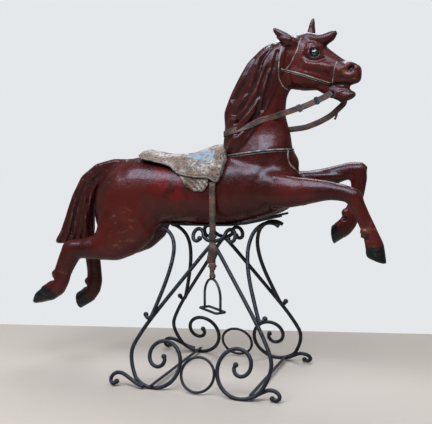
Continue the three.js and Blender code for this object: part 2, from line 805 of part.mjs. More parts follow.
function stirrupIron() {
  const { eye, eyeRadius, eyeWire, shoulder, arch, tread, halfWidth, treadHalfDepth, wire } = IRON;
  const angle = THREE.MathUtils.degToRad(IRON.turn);
  const placed = ([u, v, z]) => new THREE.Vector3(
    STRAP.x + u * Math.cos(angle) - v * Math.sin(angle),
    NEAR * STRAP.out + u * Math.sin(angle) + v * Math.cos(angle), z);
  const bow = [[-halfWidth, 0, tread]];
  for (let i = 0; i <= IRON.steps; i += 1) {
    const turn = Math.PI * i / IRON.steps;
    const rise = Math.sin(turn);
    bow.push([-halfWidth * Math.cos(turn) * (1 - IRON.narrowing * rise), 0, shoulder - arch + arch * rise]);
  }
  bow.push([halfWidth, 0, tread]);
  const long = [-1, 1].map((end) => [
    [-halfWidth - wire, end * treadHalfDepth, tread], [halfWidth + wire, end * treadHalfDepth, tread]]);
  const short = [-1, 1].map((end) => [
    [end * halfWidth, -treadHalfDepth - wire, tread], [end * halfWidth, treadHalfDepth + wire, tread]]);
  const frame = [...long, ...short].map((ends) => roundBar(ends.map(placed), wire, 4));
  const loop = wireRing(STRAP.x, NEAR * STRAP.out, eye, eyeRadius, eyeWire, 4, 8);
  return join([roundBar(bow.map(placed), wire), ...frame, loop]);
}

// ---- stand --------------------------------------------------------------------------

// a point of a leaning frame, from its place on the side view and its layer
function framePoint([x, z], side, hand, layer) {
  const out = STAND.foot - STAND.lean * z + layer * Math.hypot(1, STAND.lean);
  return new THREE.Vector3(hand * x, side * out, z);
}

function scrollEnd(point) {
  const geometry = new THREE.IcosahedronGeometry(BALL, 0);
  geometry.translate(point.x, point.y, point.z);
  return solidOf(geometry);
}

// a bar of a frame with a forged ball at its end; the list of points starts at the ball
function forgedBar(points, side, hand, layer, gap = 0) {
  const path = points.map((point) => framePoint(point, side, hand, layer));
  return roundBar(path, STAND.bar + gap).add(scrollEnd(path[0]));
}

// one leg from the ball in its foot spiral, up the straight, to the ball in its top scroll
function legPath() {
  const points = [];
  for (let angle = SPIRAL.from; angle <= SPIRAL.to; angle += SPIRAL.step) {
    const share = (angle - SPIRAL.from) / (SPIRAL.to - SPIRAL.from);
    const radius = SPIRAL.inner + (SPIRAL.outer - SPIRAL.inner) * share ** SPIRAL.power;
    const turn = THREE.MathUtils.degToRad(angle);
    points.push([SPIRAL.x + radius * Math.cos(turn), SPIRAL.z + radius * Math.sin(turn)]);
  }
  points.push(...LEG_STRAIGHT, ...LEG_NECK);
  const { x, z, wide, high, from, to, steps, tuck } = TOP_SCROLL;
  for (let i = 0; i <= steps; i += 1) {
    const turn = THREE.MathUtils.degToRad(from + (to - from) * i / steps);
    const size = i === steps ? tuck : 1;
    points.push([x + size * wide * Math.cos(turn), z + size * high * Math.sin(turn)]);
  }
  return points;
}

function leg(side, hand, layer) {
  const points = legPath();
  const top = framePoint(points[points.length - 1], side, hand, layer);
  const floor = box(0, 0, -FLOOR.depth / 2, FLOOR.size, FLOOR.size, FLOOR.depth);
  return forgedBar(points, side, hand, layer).add(scrollEnd(top)).subtract(floor);
}

function floorRing(side) {
  const geometry = new THREE.TorusGeometry(RING.radius, RING.wire, RING.sides, RING.steps);
  geometry.rotateX(Math.PI / 2 + side * Math.atan(STAND.lean));
  const centre = framePoint([0, RING.z], side, 1, 0);
  geometry.translate(centre.x, centre.y, centre.z);
  return solidOf(geometry);
}

function rail(side, gap = 0) {
  const wide = RAIL_HALF.width + gap;
  const thick = RAIL_HALF.thickness + gap;
  const outline = [[wide, thick], [-wide, thick], [-wide, -thick], [wide, -thick]]
    .map(([a, b]) => new THREE.Vector2(a, b));
  return sweep(RAIL.map(([x, z]) => new THREE.Vector3(x, side * RAIL_OUT, z)), outline);
}

function crossBar({ x, halfLength }) {
  const { halfWidth, bottom, thickness } = CROSS_BAR;
  return box(x, 0, bottom + thickness / 2, 2 * halfWidth, 2 * halfLength, thickness);
}

// ---- the whole ----------------------------------------------------------------------

const model = new THREE.Group();

function add(name, solid, material) {
  const mesh = new THREE.Mesh(geometryOf(solid), material);
  mesh.name = name;
  model.add(mesh);
}

const iron = finish(BLACK_IRON, 0.55, 0.7);
const leather = finish(STRAP_LEATHER, 0.6, 0);
const hide = finish(SADDLE_HIDE, 0.85, 0);

const standPieces = {};
for (const [sideName, side] of [['near', NEAR], ['far', FAR]]) {
  for (const [handName, hand] of [['front', 1], ['back', -1]]) {
    const layer = hand * STAND.layer;
    standPieces[`${sideName}_${handName}_leg`] = leg(side, hand, layer);
    standPieces[`${sideName}_${handName}_brace`] = forgedBar(
      hand > 0 ? BRACE_FRONT : BRACE_BACK, side, hand, -layer);
    standPieces[`${sideName}_${handName}_foot_scroll`] = forgedBar(
      [...(hand > 0 ? FOOT_SCROLL_FRONT : FOOT_SCROLL_BACK)].reverse(), side, hand, -layer);
  }
  standPieces[`${sideName}_floor_ring`] = floorRing(side);
  standPieces[`${sideName}_rail`] = rail(side);
}
for (const handName of ['front', 'back']) {
  const met = ['near', 'far'].flatMap((sideName) => ['leg', 'foot_scroll'].map(
    (piece) => standPieces[`${sideName}_${handName}_${piece}`]));
  standPieces[`${handName}_cross_bar`] = clearOf(crossBar(CROSS_BAR[handName]), join(met));
}

const grooves = [bitBar(GAP)];
for (const side of [NEAR, FAR]) {
  grooves.push(rail(side, GAP), forgedBar(BRACE_BACK, side, -1, STAND.layer, GAP));
}
const horse = carvedHorse().subtract(join(grooves));
const bitSolid = bit();
add('horse', horse, finish(PAINT, 0.35, 0));

for (const [sideName, side] of [['near', NEAR], ['far', FAR]]) {
  add(`${sideName}_glass_eye`, glassEye(side), finish(DARK_GLASS, 0.08, 0));
}

const bed = saddleBed(GAP);
add('saddle', saddleSeat(bed), hide);
add('near_saddle_flap', saddleFlap(NEAR, bed), hide);
add('far_saddle_flap', saddleFlap(FAR, bed), hide);

const nearRein = rein(NEAR, REIN_NEAR_FREE, REIN_AXIS.riseNear);
add('near_rein', nearRein, leather);
add('far_rein', rein(FAR, REIN_FAR_FREE, REIN_AXIS.riseFar), leather);
add('rein_keeper', keeper(KEEPER.places[0], nearRein), leather);
add('rein_buckle', keeper(KEEPER.places[1], nearRein), iron);
add('bit', bitSolid, iron);

const stirrup = stirrupIron();
add('stirrup_leather', clearOf(stirrupLeather(), stirrup), leather);
add('stirrup_iron', stirrup, iron);

for (const [name, solid] of Object.entries(standPieces)) {
  add(name, solid, iron);
}

const bounds = new THREE.Box3().setFromObject(model);
model.position.set(-(bounds.min.x + bounds.max.x) / 2, -(bounds.min.y + bounds.max.y) / 2, -bounds.min.z);

export default model;
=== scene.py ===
import math
import bmesh
import bpy
from mathutils import Matrix, Vector, noise
from mathutils.bvhtree import BVHTree


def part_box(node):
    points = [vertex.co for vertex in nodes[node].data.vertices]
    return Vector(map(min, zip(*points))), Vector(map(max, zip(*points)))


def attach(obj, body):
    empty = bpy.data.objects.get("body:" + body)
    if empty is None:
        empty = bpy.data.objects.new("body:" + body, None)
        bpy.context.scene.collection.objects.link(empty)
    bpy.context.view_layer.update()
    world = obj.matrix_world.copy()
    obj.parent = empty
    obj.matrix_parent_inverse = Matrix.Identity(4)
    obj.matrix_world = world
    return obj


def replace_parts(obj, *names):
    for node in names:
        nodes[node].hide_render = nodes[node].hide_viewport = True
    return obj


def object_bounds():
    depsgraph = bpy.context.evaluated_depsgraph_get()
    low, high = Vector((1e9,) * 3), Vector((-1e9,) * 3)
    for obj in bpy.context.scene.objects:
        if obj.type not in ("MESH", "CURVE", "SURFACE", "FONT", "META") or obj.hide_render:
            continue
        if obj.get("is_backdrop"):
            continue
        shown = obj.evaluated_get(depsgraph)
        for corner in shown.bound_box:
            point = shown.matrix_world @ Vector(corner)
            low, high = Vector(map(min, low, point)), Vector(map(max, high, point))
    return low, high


# Carousel horse on its wrought iron stand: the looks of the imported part.
# Places are drawn from the middle of the stand, in metres, x the way the horse looks.

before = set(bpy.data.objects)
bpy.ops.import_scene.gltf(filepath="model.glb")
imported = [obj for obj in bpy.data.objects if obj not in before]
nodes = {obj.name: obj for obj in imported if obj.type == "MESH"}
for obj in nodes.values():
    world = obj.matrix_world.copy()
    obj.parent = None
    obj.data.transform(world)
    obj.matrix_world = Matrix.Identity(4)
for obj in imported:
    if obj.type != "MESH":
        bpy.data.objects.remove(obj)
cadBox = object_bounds()
near, far = -1, 1
sides = {"near": near, "far": far}
standX = sum(corner.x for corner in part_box("near_floor_ring")) / 2


def at(x, y, z):
    return Vector((x + standX, y, z))


# shader helpers


def wire(tree, source, target):
    tree.links.new(source, target)


def put(tree, kind, **values):
    node = tree.nodes.new(kind)
    for name, value in values.items():
        setattr(node, name, value)
    return node


def calc(tree, operation, *values):
    node = put(tree, "ShaderNodeMath", operation=operation)
    for socket, value in zip(node.inputs, values):
        if hasattr(value, "is_linked"):
            wire(tree, value, socket)
        else:
            socket.default_value = value
    return node.outputs[0]


def times(tree, first, *others):
    for other in others:
        first = calc(tree, "MULTIPLY", first, other)
    return first


def blendColour(tree, factor, low, high):
    node = put(tree, "ShaderNodeMix", data_type="RGBA", blend_type="MIX", clamp_factor=True)
    for index, value in ((0, factor), (6, low), (7, high)):
        if hasattr(value, "is_linked"):
            wire(tree, value, node.inputs[index])
        elif index == 0:
            node.inputs[index].default_value = value
        else:
            node.inputs[index].default_value = (*value, 1)
    return node.outputs[2]


def layOver(tree, colour, top, strength, *masks):
    return blendColour(tree, times(tree, *masks, strength), colour, top)


def ease(tree, value, low, high):
    node = put(tree, "ShaderNodeMapRange", interpolation_type="SMOOTHSTEP")
    wire(tree, value, node.inputs["Value"])
    node.inputs["From Min"].default_value = low
    node.inputs["From Max"].default_value = high
    return node.outputs["Result"]


def newGroup(name, floats, output):
    group = bpy.data.node_groups.new(name, "ShaderNodeTree")
    group.interface.new_socket("Vector", in_out="INPUT", socket_type="NodeSocketVector")
    for title, value in floats.items():
        socket = group.interface.new_socket(title, in_out="INPUT", socket_type="NodeSocketFloat")
        socket.default_value = value
    group.interface.new_socket(output, in_out="OUTPUT", socket_type="NodeSocketFloat")
    return group, put(group, "NodeGroupInput"), put(group, "NodeGroupOutput")


def maskBetween(group, came, gone, value, **kind):
    spread = put(group, "ShaderNodeMapRange", **kind)
    wire(group, value, spread.inputs["Value"])
    wire(group, came.outputs["Low"], spread.inputs["From Min"])
    wire(group, came.outputs["High"], spread.inputs["From Max"])
    wire(group, spread.outputs["Result"], gone.inputs["Mask"])


# cloudy change of tone: 0 to 1, eased between Low and High
mottle, came, gone = newGroup("mottle", {"Scale": 8, "Detail": 4, "Low": 0.4, "High": 0.6}, "Mask")
cloud = put(mottle, "ShaderNodeTexNoise")
wire(mottle, came.outputs["Vector"], cloud.inputs["Vector"])
wire(mottle, came.outputs["Scale"], cloud.inputs["Scale"])
wire(mottle, came.outputs["Detail"], cloud.inputs["Detail"])
maskBetween(mottle, came, gone, cloud.outputs["Fac"], interpolation_type="SMOOTHSTEP")

# short worn scratches, stretched along the piece
scratch, came, gone = newGroup("scratches", {"Scale": 30, "Low": 0.6, "High": 0.68}, "Mask")
stretch = put(scratch, "ShaderNodeMapping")
stretch.inputs["Scale"].default_value = (0.45, 1, 1.3)
stretch.inputs["Rotation"].default_value = (0.2, 0.5, 0.3)
wire(scratch, came.outputs["Vector"], stretch.inputs["Vector"])
fleck = put(scratch, "ShaderNodeTexNoise")
fleck.inputs["Detail"].default_value = 6
fleck.inputs["Roughness"].default_value = 0.7
wire(scratch, stretch.outputs["Vector"], fleck.inputs["Vector"])
wire(scratch, came.outputs["Scale"], fleck.inputs["Scale"])
maskBetween(scratch, came, gone, fleck.outputs["Fac"])

# soft round spot round a place: 1 in the middle, 0 outside the radius
spot = bpy.data.node_groups.new("spot", "ShaderNodeTree")
for title, kind in (("Vector", "Vector"), ("Centre", "Vector"), ("Stretch", "Vector"),
                    ("Radius", "Float")):
    spot.interface.new_socket(title, in_out="INPUT", socket_type=f"NodeSocket{kind}")
spot.interface.new_socket("Mask", in_out="OUTPUT", socket_type="NodeSocketFloat")
came, gone = put(spot, "NodeGroupInput"), put(spot, "NodeGroupOutput")
away = put(spot, "ShaderNodeVectorMath", operation="SUBTRACT")
wire(spot, came.outputs["Vector"], away.inputs[0])
wire(spot, came.outputs["Centre"], away.inputs[1])
scaled = put(spot, "ShaderNodeVectorMath", operation="MULTIPLY")
wire(spot, away.outputs[0], scaled.inputs[0])
wire(spot, came.outputs["Stretch"], scaled.inputs[1])
length = put(spot, "ShaderNodeVectorMath", operation="LENGTH")
wire(spot, scaled.outputs[0], length.inputs[0])
share = calc(spot, "DIVIDE", length.outputs["Value"], came.outputs["Radius"])
wire(spot, ease(spot, calc(spot, "SUBTRACT", 1.0, share), 0.0, 0.5), gone.inputs["Mask"])


def useGroup(tree, group, vector, **values):
    node = put(tree, "ShaderNodeGroup", node_tree=group)
    wire(tree, vector, node.inputs["Vector"])
    for name, value in values.items():
        node.inputs[name].default_value = value
    return node.outputs[0]


def startMaterial(name, **settings):
    material = bpy.data.materials.new(name)
    material.use_nodes = True
    tree = material.node_tree
    shader = tree.nodes["Principled BSDF"]
    for title, value in settings.items():
        shader.inputs[title.replace("_", " ")].default_value = value
    return material, tree, shader, put(tree, "ShaderNodeTexCoord").outputs["Object"]


def bumps(tree, shader, height, distance, strength=1.0):
    node = put(tree, "ShaderNodeBump")
    node.inputs["Distance"].default_value = distance
    node.inputs["Strength"].default_value = strength
    wire(tree, height, node.inputs["Height"])
    wire(tree, node.outputs["Normal"], shader.inputs["Normal"])


def attribute(tree, name):
    return put(tree, "ShaderNodeAttribute", attribute_name=name).outputs["Fac"]


# materials

paint = {
    "deep": (0.026, 0.0034, 0.0022), "mid": (0.058, 0.0062, 0.0036), "warm": (0.100, 0.0045, 0.0050),
    # the dark of the specks is also the painted shade in hollows, strokes and eye sockets
    "worn": (0.18, 0.062, 0.025), "speckAndShade": (0.007, 0.0036, 0.0034), "hoof": (0.005, 0.0058, 0.005),
    "hoofWorn": (0.019, 0.019, 0.015), "rim": (0.12, 0.036, 0.022), "hair": (0.026, 0.0048, 0.0036),
    "flank": (-0.125, -0.12, 0.775), "flankStretch": (0.85, 1, 1.35), "flankRadius": 0.125,
    "rump": (-0.42, -0.05, 0.83), "rumpStretch": (0.8, 1, 1.6), "rumpRadius": 0.16,
    # how strongly each tone covers the ones below it
    "warmShare": 0.75, "deepShare": 0.3, "hairShare": 0.75, "hollowShadeShare": 0.55, "rimShare": 0.55,
    "wornShare": 0.85, "shadeShare": 0.85, "speckShare": 0.3, "rumpSpecks": 0.65,
    "roughness": 0.26, "cloudRoughness": 0.16, "wornRoughness": 0.12,
    "pitShare": 0.22, "relief": 0.0022, "reliefStrength": 0.6,
}


def makePaint():
    material, tree, shader, place = startMaterial(
        "oldRedPaint", Specular_IOR_Level=0.15, Coat_Weight=0.28, Coat_Roughness=0.17, Coat_IOR=1.38)
    broad = useGroup(tree, mottle, place, Scale=5.5, Detail=3, Low=0.36, High=0.66)
    fine = useGroup(tree, mottle, place, Scale=60, Detail=5, Low=0.42, High=0.64)
    colour = blendColour(tree, broad, paint["deep"], paint["mid"])
    flank = useGroup(tree, spot, place, Centre=at(*paint["flank"]), Stretch=paint["flankStretch"],
                     Radius=paint["flankRadius"])
    streaks = useGroup(tree, mottle, place, Scale=22, Detail=6, Low=0.36, High=0.62)
    colour = layOver(tree, colour, paint["warm"], paint["warmShare"], flank, streaks)
    colour = layOver(tree, colour, paint["deep"], paint["deepShare"], fine)
    colour = layOver(tree, colour, paint["hair"], paint["hairShare"], attribute(tree, "hair"))
    # painted shade: the deeper a place lies in a hollow of the carving, the darker it is painted
    hollow = attribute(tree, "hollow")
    colour = layOver(tree, colour, paint["speckAndShade"], paint["hollowShadeShare"], ease(tree, hollow, 0.52, 0.8))
    edge = ease(tree, calc(tree, "SUBTRACT", 1.0, hollow), 0.6, 0.85)
    edgeBreak = useGroup(tree, mottle, place, Scale=45, Detail=5, Low=0.4, High=0.62)
    colour = layOver(tree, colour, paint["rim"], paint["rimShare"], edge, edgeBreak)
    rubbed = attribute(tree, "rubbed")
    marks = useGroup(tree, scratch, place, Scale=34, Low=0.55, High=0.64)
    colour = layOver(tree, colour, paint["worn"], paint["wornShare"], marks, rubbed)
    specks = useGroup(tree, scratch, place, Scale=70, Low=0.66, High=0.72)
    rump = useGroup(tree, spot, place, Centre=at(*paint["rump"]), Stretch=paint["rumpStretch"],
                    Radius=paint["rumpRadius"])
    crowded = calc(tree, "MULTIPLY_ADD", rump, paint["rumpSpecks"], paint["speckShare"])
    colour = blendColour(tree, times(tree, specks, crowded), colour, paint["speckAndShade"])
    patches = useGroup(tree, mottle, place, Scale=40, Detail=5, Low=0.5, High=0.75)
    horn = blendColour(tree, patches, paint["hoof"], paint["hoofWorn"])
    colour = blendColour(tree, attribute(tree, "hoof"), colour, horn)
    # painted shade in the gouged strokes and round the eyes
    colour = layOver(tree, colour, paint["speckAndShade"], paint["shadeShare"], attribute(tree, "shade"))
    wire(tree, colour, shader.inputs["Base Color"])
    rough = calc(tree, "MULTIPLY_ADD", fine, paint["cloudRoughness"], paint["roughness"])
    worn = times(tree, rubbed, paint["wornRoughness"])
    wire(tree, calc(tree, "ADD", rough, worn), shader.inputs["Roughness"])
    ripples = useGroup(tree, mottle, place, Scale=26, Detail=3, Low=0.2, High=0.8)
    pits = useGroup(tree, mottle, place, Scale=190, Detail=3, Low=0.25, High=0.6)
    relief = calc(tree, "ADD", ripples, times(tree, pits, paint["pitShare"]))
    bumps(tree, shader, relief, paint["relief"], paint["reliefStrength"])
    return material


def makeLine(name, low, high, roughness):
    material, tree, shader, place = startMaterial(name, Roughness=roughness)
    worn = useGroup(tree, mottle, place, Scale=55, Detail=5, Low=0.38, High=0.62)
    wire(tree, blendColour(tree, worn, low, high), shader.inputs["Base Color"])
    bumps(tree, shader, useGroup(tree, mottle, place, Scale=160, Detail=3, Low=0.3, High=0.7), 0.0006)
    return material


hide = {
    "base": (0.120, 0.072, 0.034), "dark": (0.020, 0.012, 0.007), "pale": (0.30, 0.255, 0.195),
    "rust": (0.125, 0.042, 0.014), "blue": (0.14, 0.19, 0.21),
    # the blue wedge: where it starts and stops, how its middle climbs and how it widens
    "leafFrom": -0.120, "leafTo": 0.012, "leafLow": 0.872, "leafClimb": 0.06, "leafHalf": 0.019,
    "leafFull": 0.7, "leafFray": 0.12, "leafEnd": 1.08,
    # how strongly each tone covers the ones below it
    "grimeShare": 0.7, "stainShare": 0.5, "blueShare": 0.85, "rustShare": 0.8, "hollowShadeShare": 0.6,
    "grooveShadeShare": 0.6,
    "crackHeight": 0.6, "ribHeight": 2.2, "relief": 0.0012, "reliefStrength": 0.8,
}


def blueWedge(tree, place):
    split = put(tree, "ShaderNodeSeparateXYZ")
    wire(tree, place, split.inputs[0])
    along = calc(tree, "SUBTRACT", split.outputs["X"], standX + hide["leafFrom"])
    share = calc(tree, "DIVIDE", along, hide["leafTo"] - hide["leafFrom"])
    ragged = useGroup(tree, mottle, place, Scale=48, Detail=6, Low=0.2, High=0.8)
    middle = calc(tree, "MULTIPLY_ADD", along, hide["leafClimb"], hide["leafLow"])
    away = calc(tree, "ABSOLUTE", calc(tree, "SUBTRACT", split.outputs["Z"], middle))
    half = times(tree, calc(tree, "MINIMUM", share, hide["leafFull"]), hide["leafHalf"] / hide["leafFull"])
    inside = calc(tree, "SUBTRACT", times(tree, half, calc(tree, "ADD", ragged, 0.5)), away)
    ended = calc(tree, "LESS_THAN", times(tree, ragged, hide["leafFray"]),
                 calc(tree, "SUBTRACT", hide["leafEnd"], share))
    broken = useGroup(tree, mottle, place, Scale=75, Detail=8, Low=0.34, High=0.46)
    return times(tree, ease(tree, inside, -0.001, 0.003), ended, broken)


def makeHide(name, ribbed):
    material, tree, shader, place = startMaterial(name, Roughness=0.72)
    broad = useGroup(tree, mottle, place, Scale=17, Detail=8, Low=0.4, High=0.62)
    colour = blendColour(tree, broad, hide["base"], hide["pale"])
    grime = useGroup(tree, mottle, place, Scale=140, Detail=8, Low=0.46, High=0.62)
    colour = layOver(tree, colour, hide["dark"], hide["grimeShare"], grime)
    stain = useGroup(tree, mottle, place, Scale=52, Detail=8, Low=0.5, High=0.6)
    colour = layOver(tree, colour, hide["dark"], hide["stainShare"], stain)
    if not ribbed:
        colour = layOver(tree, colour, hide["blue"], hide["blueShare"], blueWedge(tree, place))
    rust = useGroup(tree, scratch, place, Scale=48, Low=0.6, High=0.66)
    colour = layOver(tree, colour, hide["rust"], hide["rustShare"], rust)
    # painted shade: the hollows of the hide are darkened
    deep = ease(tree, attribute(tree, "hollow"), 0.55, 0.8)
    colour = layOver(tree, colour, hide["dark"], hide["hollowShadeShare"], deep)
    cracks = put(tree, "ShaderNodeTexVoronoi", feature="DISTANCE_TO_EDGE")
    cracks.inputs["Scale"].default_value = 90
    wire(tree, place, cracks.inputs["Vector"])
    relief = calc(tree, "ADD", times(tree, cracks.outputs["Distance"], hide["crackHeight"]), grime)
    if ribbed:
        ribs = put(tree, "ShaderNodeTexWave", bands_direction="DIAGONAL")
        ribs.inputs["Scale"].default_value = 26
        ribs.inputs["Distortion"].default_value = 2.5
        wire(tree, place, ribs.inputs["Vector"])
        # painted shade in the grooves between the ribs
        groove = ease(tree, calc(tree, "SUBTRACT", 1.0, ribs.outputs["Fac"]), 0.5, 0.9)
        colour = layOver(tree, colour, hide["dark"], hide["grooveShadeShare"], groove)
        relief = calc(tree, "ADD", relief, times(tree, ribs.outputs["Fac"], hide["ribHeight"]))
    wire(tree, colour, shader.inputs["Base Color"])
    bumps(tree, shader, relief, hide["relief"], hide["reliefStrength"])
    return material


strapTone = {"dark": (0.014, 0.0075, 0.005), "warm": (0.080, 0.034, 0.017), "dry": (0.14, 0.082, 0.05)}


def makeStrap():
    material, tree, shader, place = startMaterial("oldStrap", Roughness=0.62)
    broad = useGroup(tree, mottle, place, Scale=24, Detail=6, Low=0.36, High=0.64)
    colour = blendColour(tree, broad, strapTone["dark"], strapTone["warm"])
    dry = useGroup(tree, scratch, place, Scale=60, Low=0.58, High=0.66)
    colour = layOver(tree, colour, strapTone["dry"], 0.5, dry)
    wire(tree, colour, shader.inputs["Base Color"])
    bumps(tree, shader, useGroup(tree, mottle, place, Scale=150, Detail=5, Low=0.3, High=0.7), 0.0008)
    return material


ironRust = (0.07, 0.03, 0.018)


def makeIron(name, low, high, roughness):
    material, tree, shader, place = startMaterial(name, Metallic=0.1, Specular_IOR_Level=0.3)
    worn = useGroup(tree, mottle, place, Scale=34, Detail=6, Low=0.45, High=0.7)
    colour = blendColour(tree, worn, low, high)
    rust = useGroup(tree, scratch, place, Scale=60, Low=0.64, High=0.7)
    colour = layOver(tree, colour, ironRust, 0.4, rust)
    wire(tree, colour, shader.inputs["Base Color"])
    wire(tree, calc(tree, "MULTIPLY_ADD", worn, 0.15, roughness), shader.inputs["Roughness"])
    bumps(tree, shader, useGroup(tree, mottle, place, Scale=120, Detail=4, Low=0.25, High=0.75), 0.0007)
    return material


redPaint = makePaint()
giltLine = makeLine("giltLine", (0.060, 0.048, 0.032), (0.20, 0.175, 0.125), 0.5)
darkLine = makeLine("darkLine", (0.01, 0.008, 0.008), (0.035, 0.022, 0.018), 0.4)
paleRim = makeLine("paleRim", (0.040, 0.028, 0.018), (0.125, 0.10, 0.07), 0.6)
saddleHide = makeHide("saddleHide", False)
flapHide = makeHide("ribbedHide", True)
strapLeather = makeStrap()
standIron = makeIron("blackIron", (0.006, 0.007, 0.009), (0.016, 0.018, 0.022), 0.40)
tackIron = makeIron("tackIron", (0.009, 0.010, 0.011), (0.034, 0.034, 0.034), 0.42)
darkGlass = startMaterial("darkGlass", Base_Color=(0.006, 0.007, 0.009, 1), Roughness=0.06,
                          Coat_Weight=1.0)[0]
print("materials ready")

# mesh helpers


def newObject(name, data):
    made = bpy.data.objects.new(name, data)
    bpy.context.scene.collection.objects.link(made)
    return made


def opened(mesh):
    bm = bmesh.new()
    bm.from_mesh(mesh)
    return bm


def written(bm, mesh=None):
    if mesh is None:
        mesh = bpy.data.meshes.new("made")
    bm.to_mesh(mesh)
    bm.free()
    return mesh


def addPiece(name, mesh, material):
    mesh.name = name
    mesh.materials.clear()
    mesh.materials.append(material)
    piece = newObject(name, mesh)
    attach(piece, "root")
    return piece


def smoothShaded(mesh):
    for face in mesh.polygons:
        face.use_smooth = True
    return mesh


def bakedMesh(piece):
    graph = bpy.context.evaluated_depsgraph_get()
    mesh = bpy.data.meshes.new_from_object(piece.evaluated_get(graph))
    bpy.data.objects.remove(piece)
    return mesh


def remeshed(bm, voxel):
    block = newObject("block", written(bm))
    cutter = block.modifiers.new("cutter", "REMESH")
    cutter.mode = "VOXEL"
    cutter.voxel_size = voxel
    return bakedMesh(block)


def easedPath(points, perSpan):
    path = []
    for i in range(len(points) - 1):
        before, start = points[max(i - 1, 0)], points[i]
        end, after = points[i + 1], points[min(i + 2, len(points) - 1)]
        for k in range(perSpan):
            t = k / perSpan
            path.append(0.5 * (2 * start + (end - before) * t
                               + (2 * before - 5 * start + 4 * end - after) * t * t
                               + (3 * start - before - 3 * end + after) * t ** 3))
    path.append(points[-1])
    return path


def sweptMesh(points, radius, closed=False):
    curve = bpy.data.curves.new("sweep", "CURVE")
    curve.dimensions = "3D"
    spline = curve.splines.new("POLY")
    spline.points.add(len(points) - 1)
    for target, point in zip(spline.points, points):
        target.co = (*point, 1)
    spline.use_cyclic_u = closed
    curve.bevel_depth = radius
    curve.bevel_resolution = 3
    curve.use_fill_caps = not closed
    mesh = bakedMesh(newObject("sweep", curve))
    bm = opened(mesh)
    bmesh.ops.remove_doubles(bm, verts=bm.verts, dist=1e-6)
    bmesh.ops.recalc_face_normals(bm, faces=bm.faces)
    return smoothShaded(written(bm, mesh))


def ribbonMesh(points, outwards, width, thickness):
    shape = ((1, 0.5), (0.86, 1), (-0.86, 1), (-1, 0.5), (-1, -0.5), (-0.86, -1), (0.86, -1), (1, -0.5))
    bm = bmesh.new()
    rings = []
    for i, (point, outward) in enumerate(zip(points, outwards)):
        along = (points[min(i + 1, len(points) - 1)] - points[max(i - 1, 0)]).normalized()
        broad = along.cross(outward).normalized()
        thin = broad.cross(along).normalized()
        rings.append([bm.verts.new(point + broad * (b * width / 2) + thin * (t * thickness / 2))
                      for b, t in shape])
    for first, second in zip(rings, rings[1:]):
        for k in range(len(shape)):
            bm.faces.new((first[k - 1], first[k], second[k], second[k - 1]))
    bm.faces.new(rings[0])
    bm.faces.new(rings[-1])
    bmesh.ops.recalc_face_normals(bm, faces=bm.faces)
    return written(bm)


def ballInto(bm, centre, size, turn=None, segments=16):
    place = Matrix.Translation(centre) @ (turn or Matrix()) @ Matrix.Diagonal((*size, 1))
    bmesh.ops.create_uvsphere(bm, u_segments=segments, v_segments=segments // 2 + 2, radius=1, matrix=place)


def joinedMesh(meshes):
    bm = bmesh.new()
    for mesh in meshes:
        bm.from_mesh(mesh)
    return smoothShaded(written(bm))


def smoothWhere(bm, test, passes, factor=0.5):
    chosen = [v for v in bm.verts if test(v.co)]
    for _ in range(passes):
        bmesh.ops.smooth_vert(bm, verts=chosen, factor=factor, use_axis_x=True, use_axis_y=True,
                              use_axis_z=True)


def insideOutline(outline, x, z):
    inside = False
    for i, (x1, z1) in enumerate(outline):
        x2, z2 = outline[i - 1]
        if (z1 > z) != (z2 > z) and x < (x2 - x1) * (z - z1) / (z2 - z1) + x1:
            inside = not inside
    return inside


def hollowMarks(bm, spread):
    # how deep each point lies among its neighbours: 0.5 flat, more in a groove, less on a ridge
    bm.normal_update()
    marks = []
    for v in bm.verts:
        total = 0.0
        for edge in v.link_edges:
            other = edge.other_vert(v)
            total += (other.co - v.co).normalized().dot(v.normal)
        marks.append(total / max(len(v.link_edges), 1))
    for _ in range(spread):
        marks = [0.5 * marks[v.index] + 0.5 * sum(marks[e.other_vert(v).index] for e in v.link_edges)
                 / max(len(v.link_edges), 1) for v in bm.verts]
    return marks


def clamped(value):
    return min(max(value, 0), 1)


def setAttribute(mesh, name, values):
    layer = mesh.attributes.new(name, "FLOAT", "POINT")
    layer.data.foreach_set("value", values)


# the carved horse

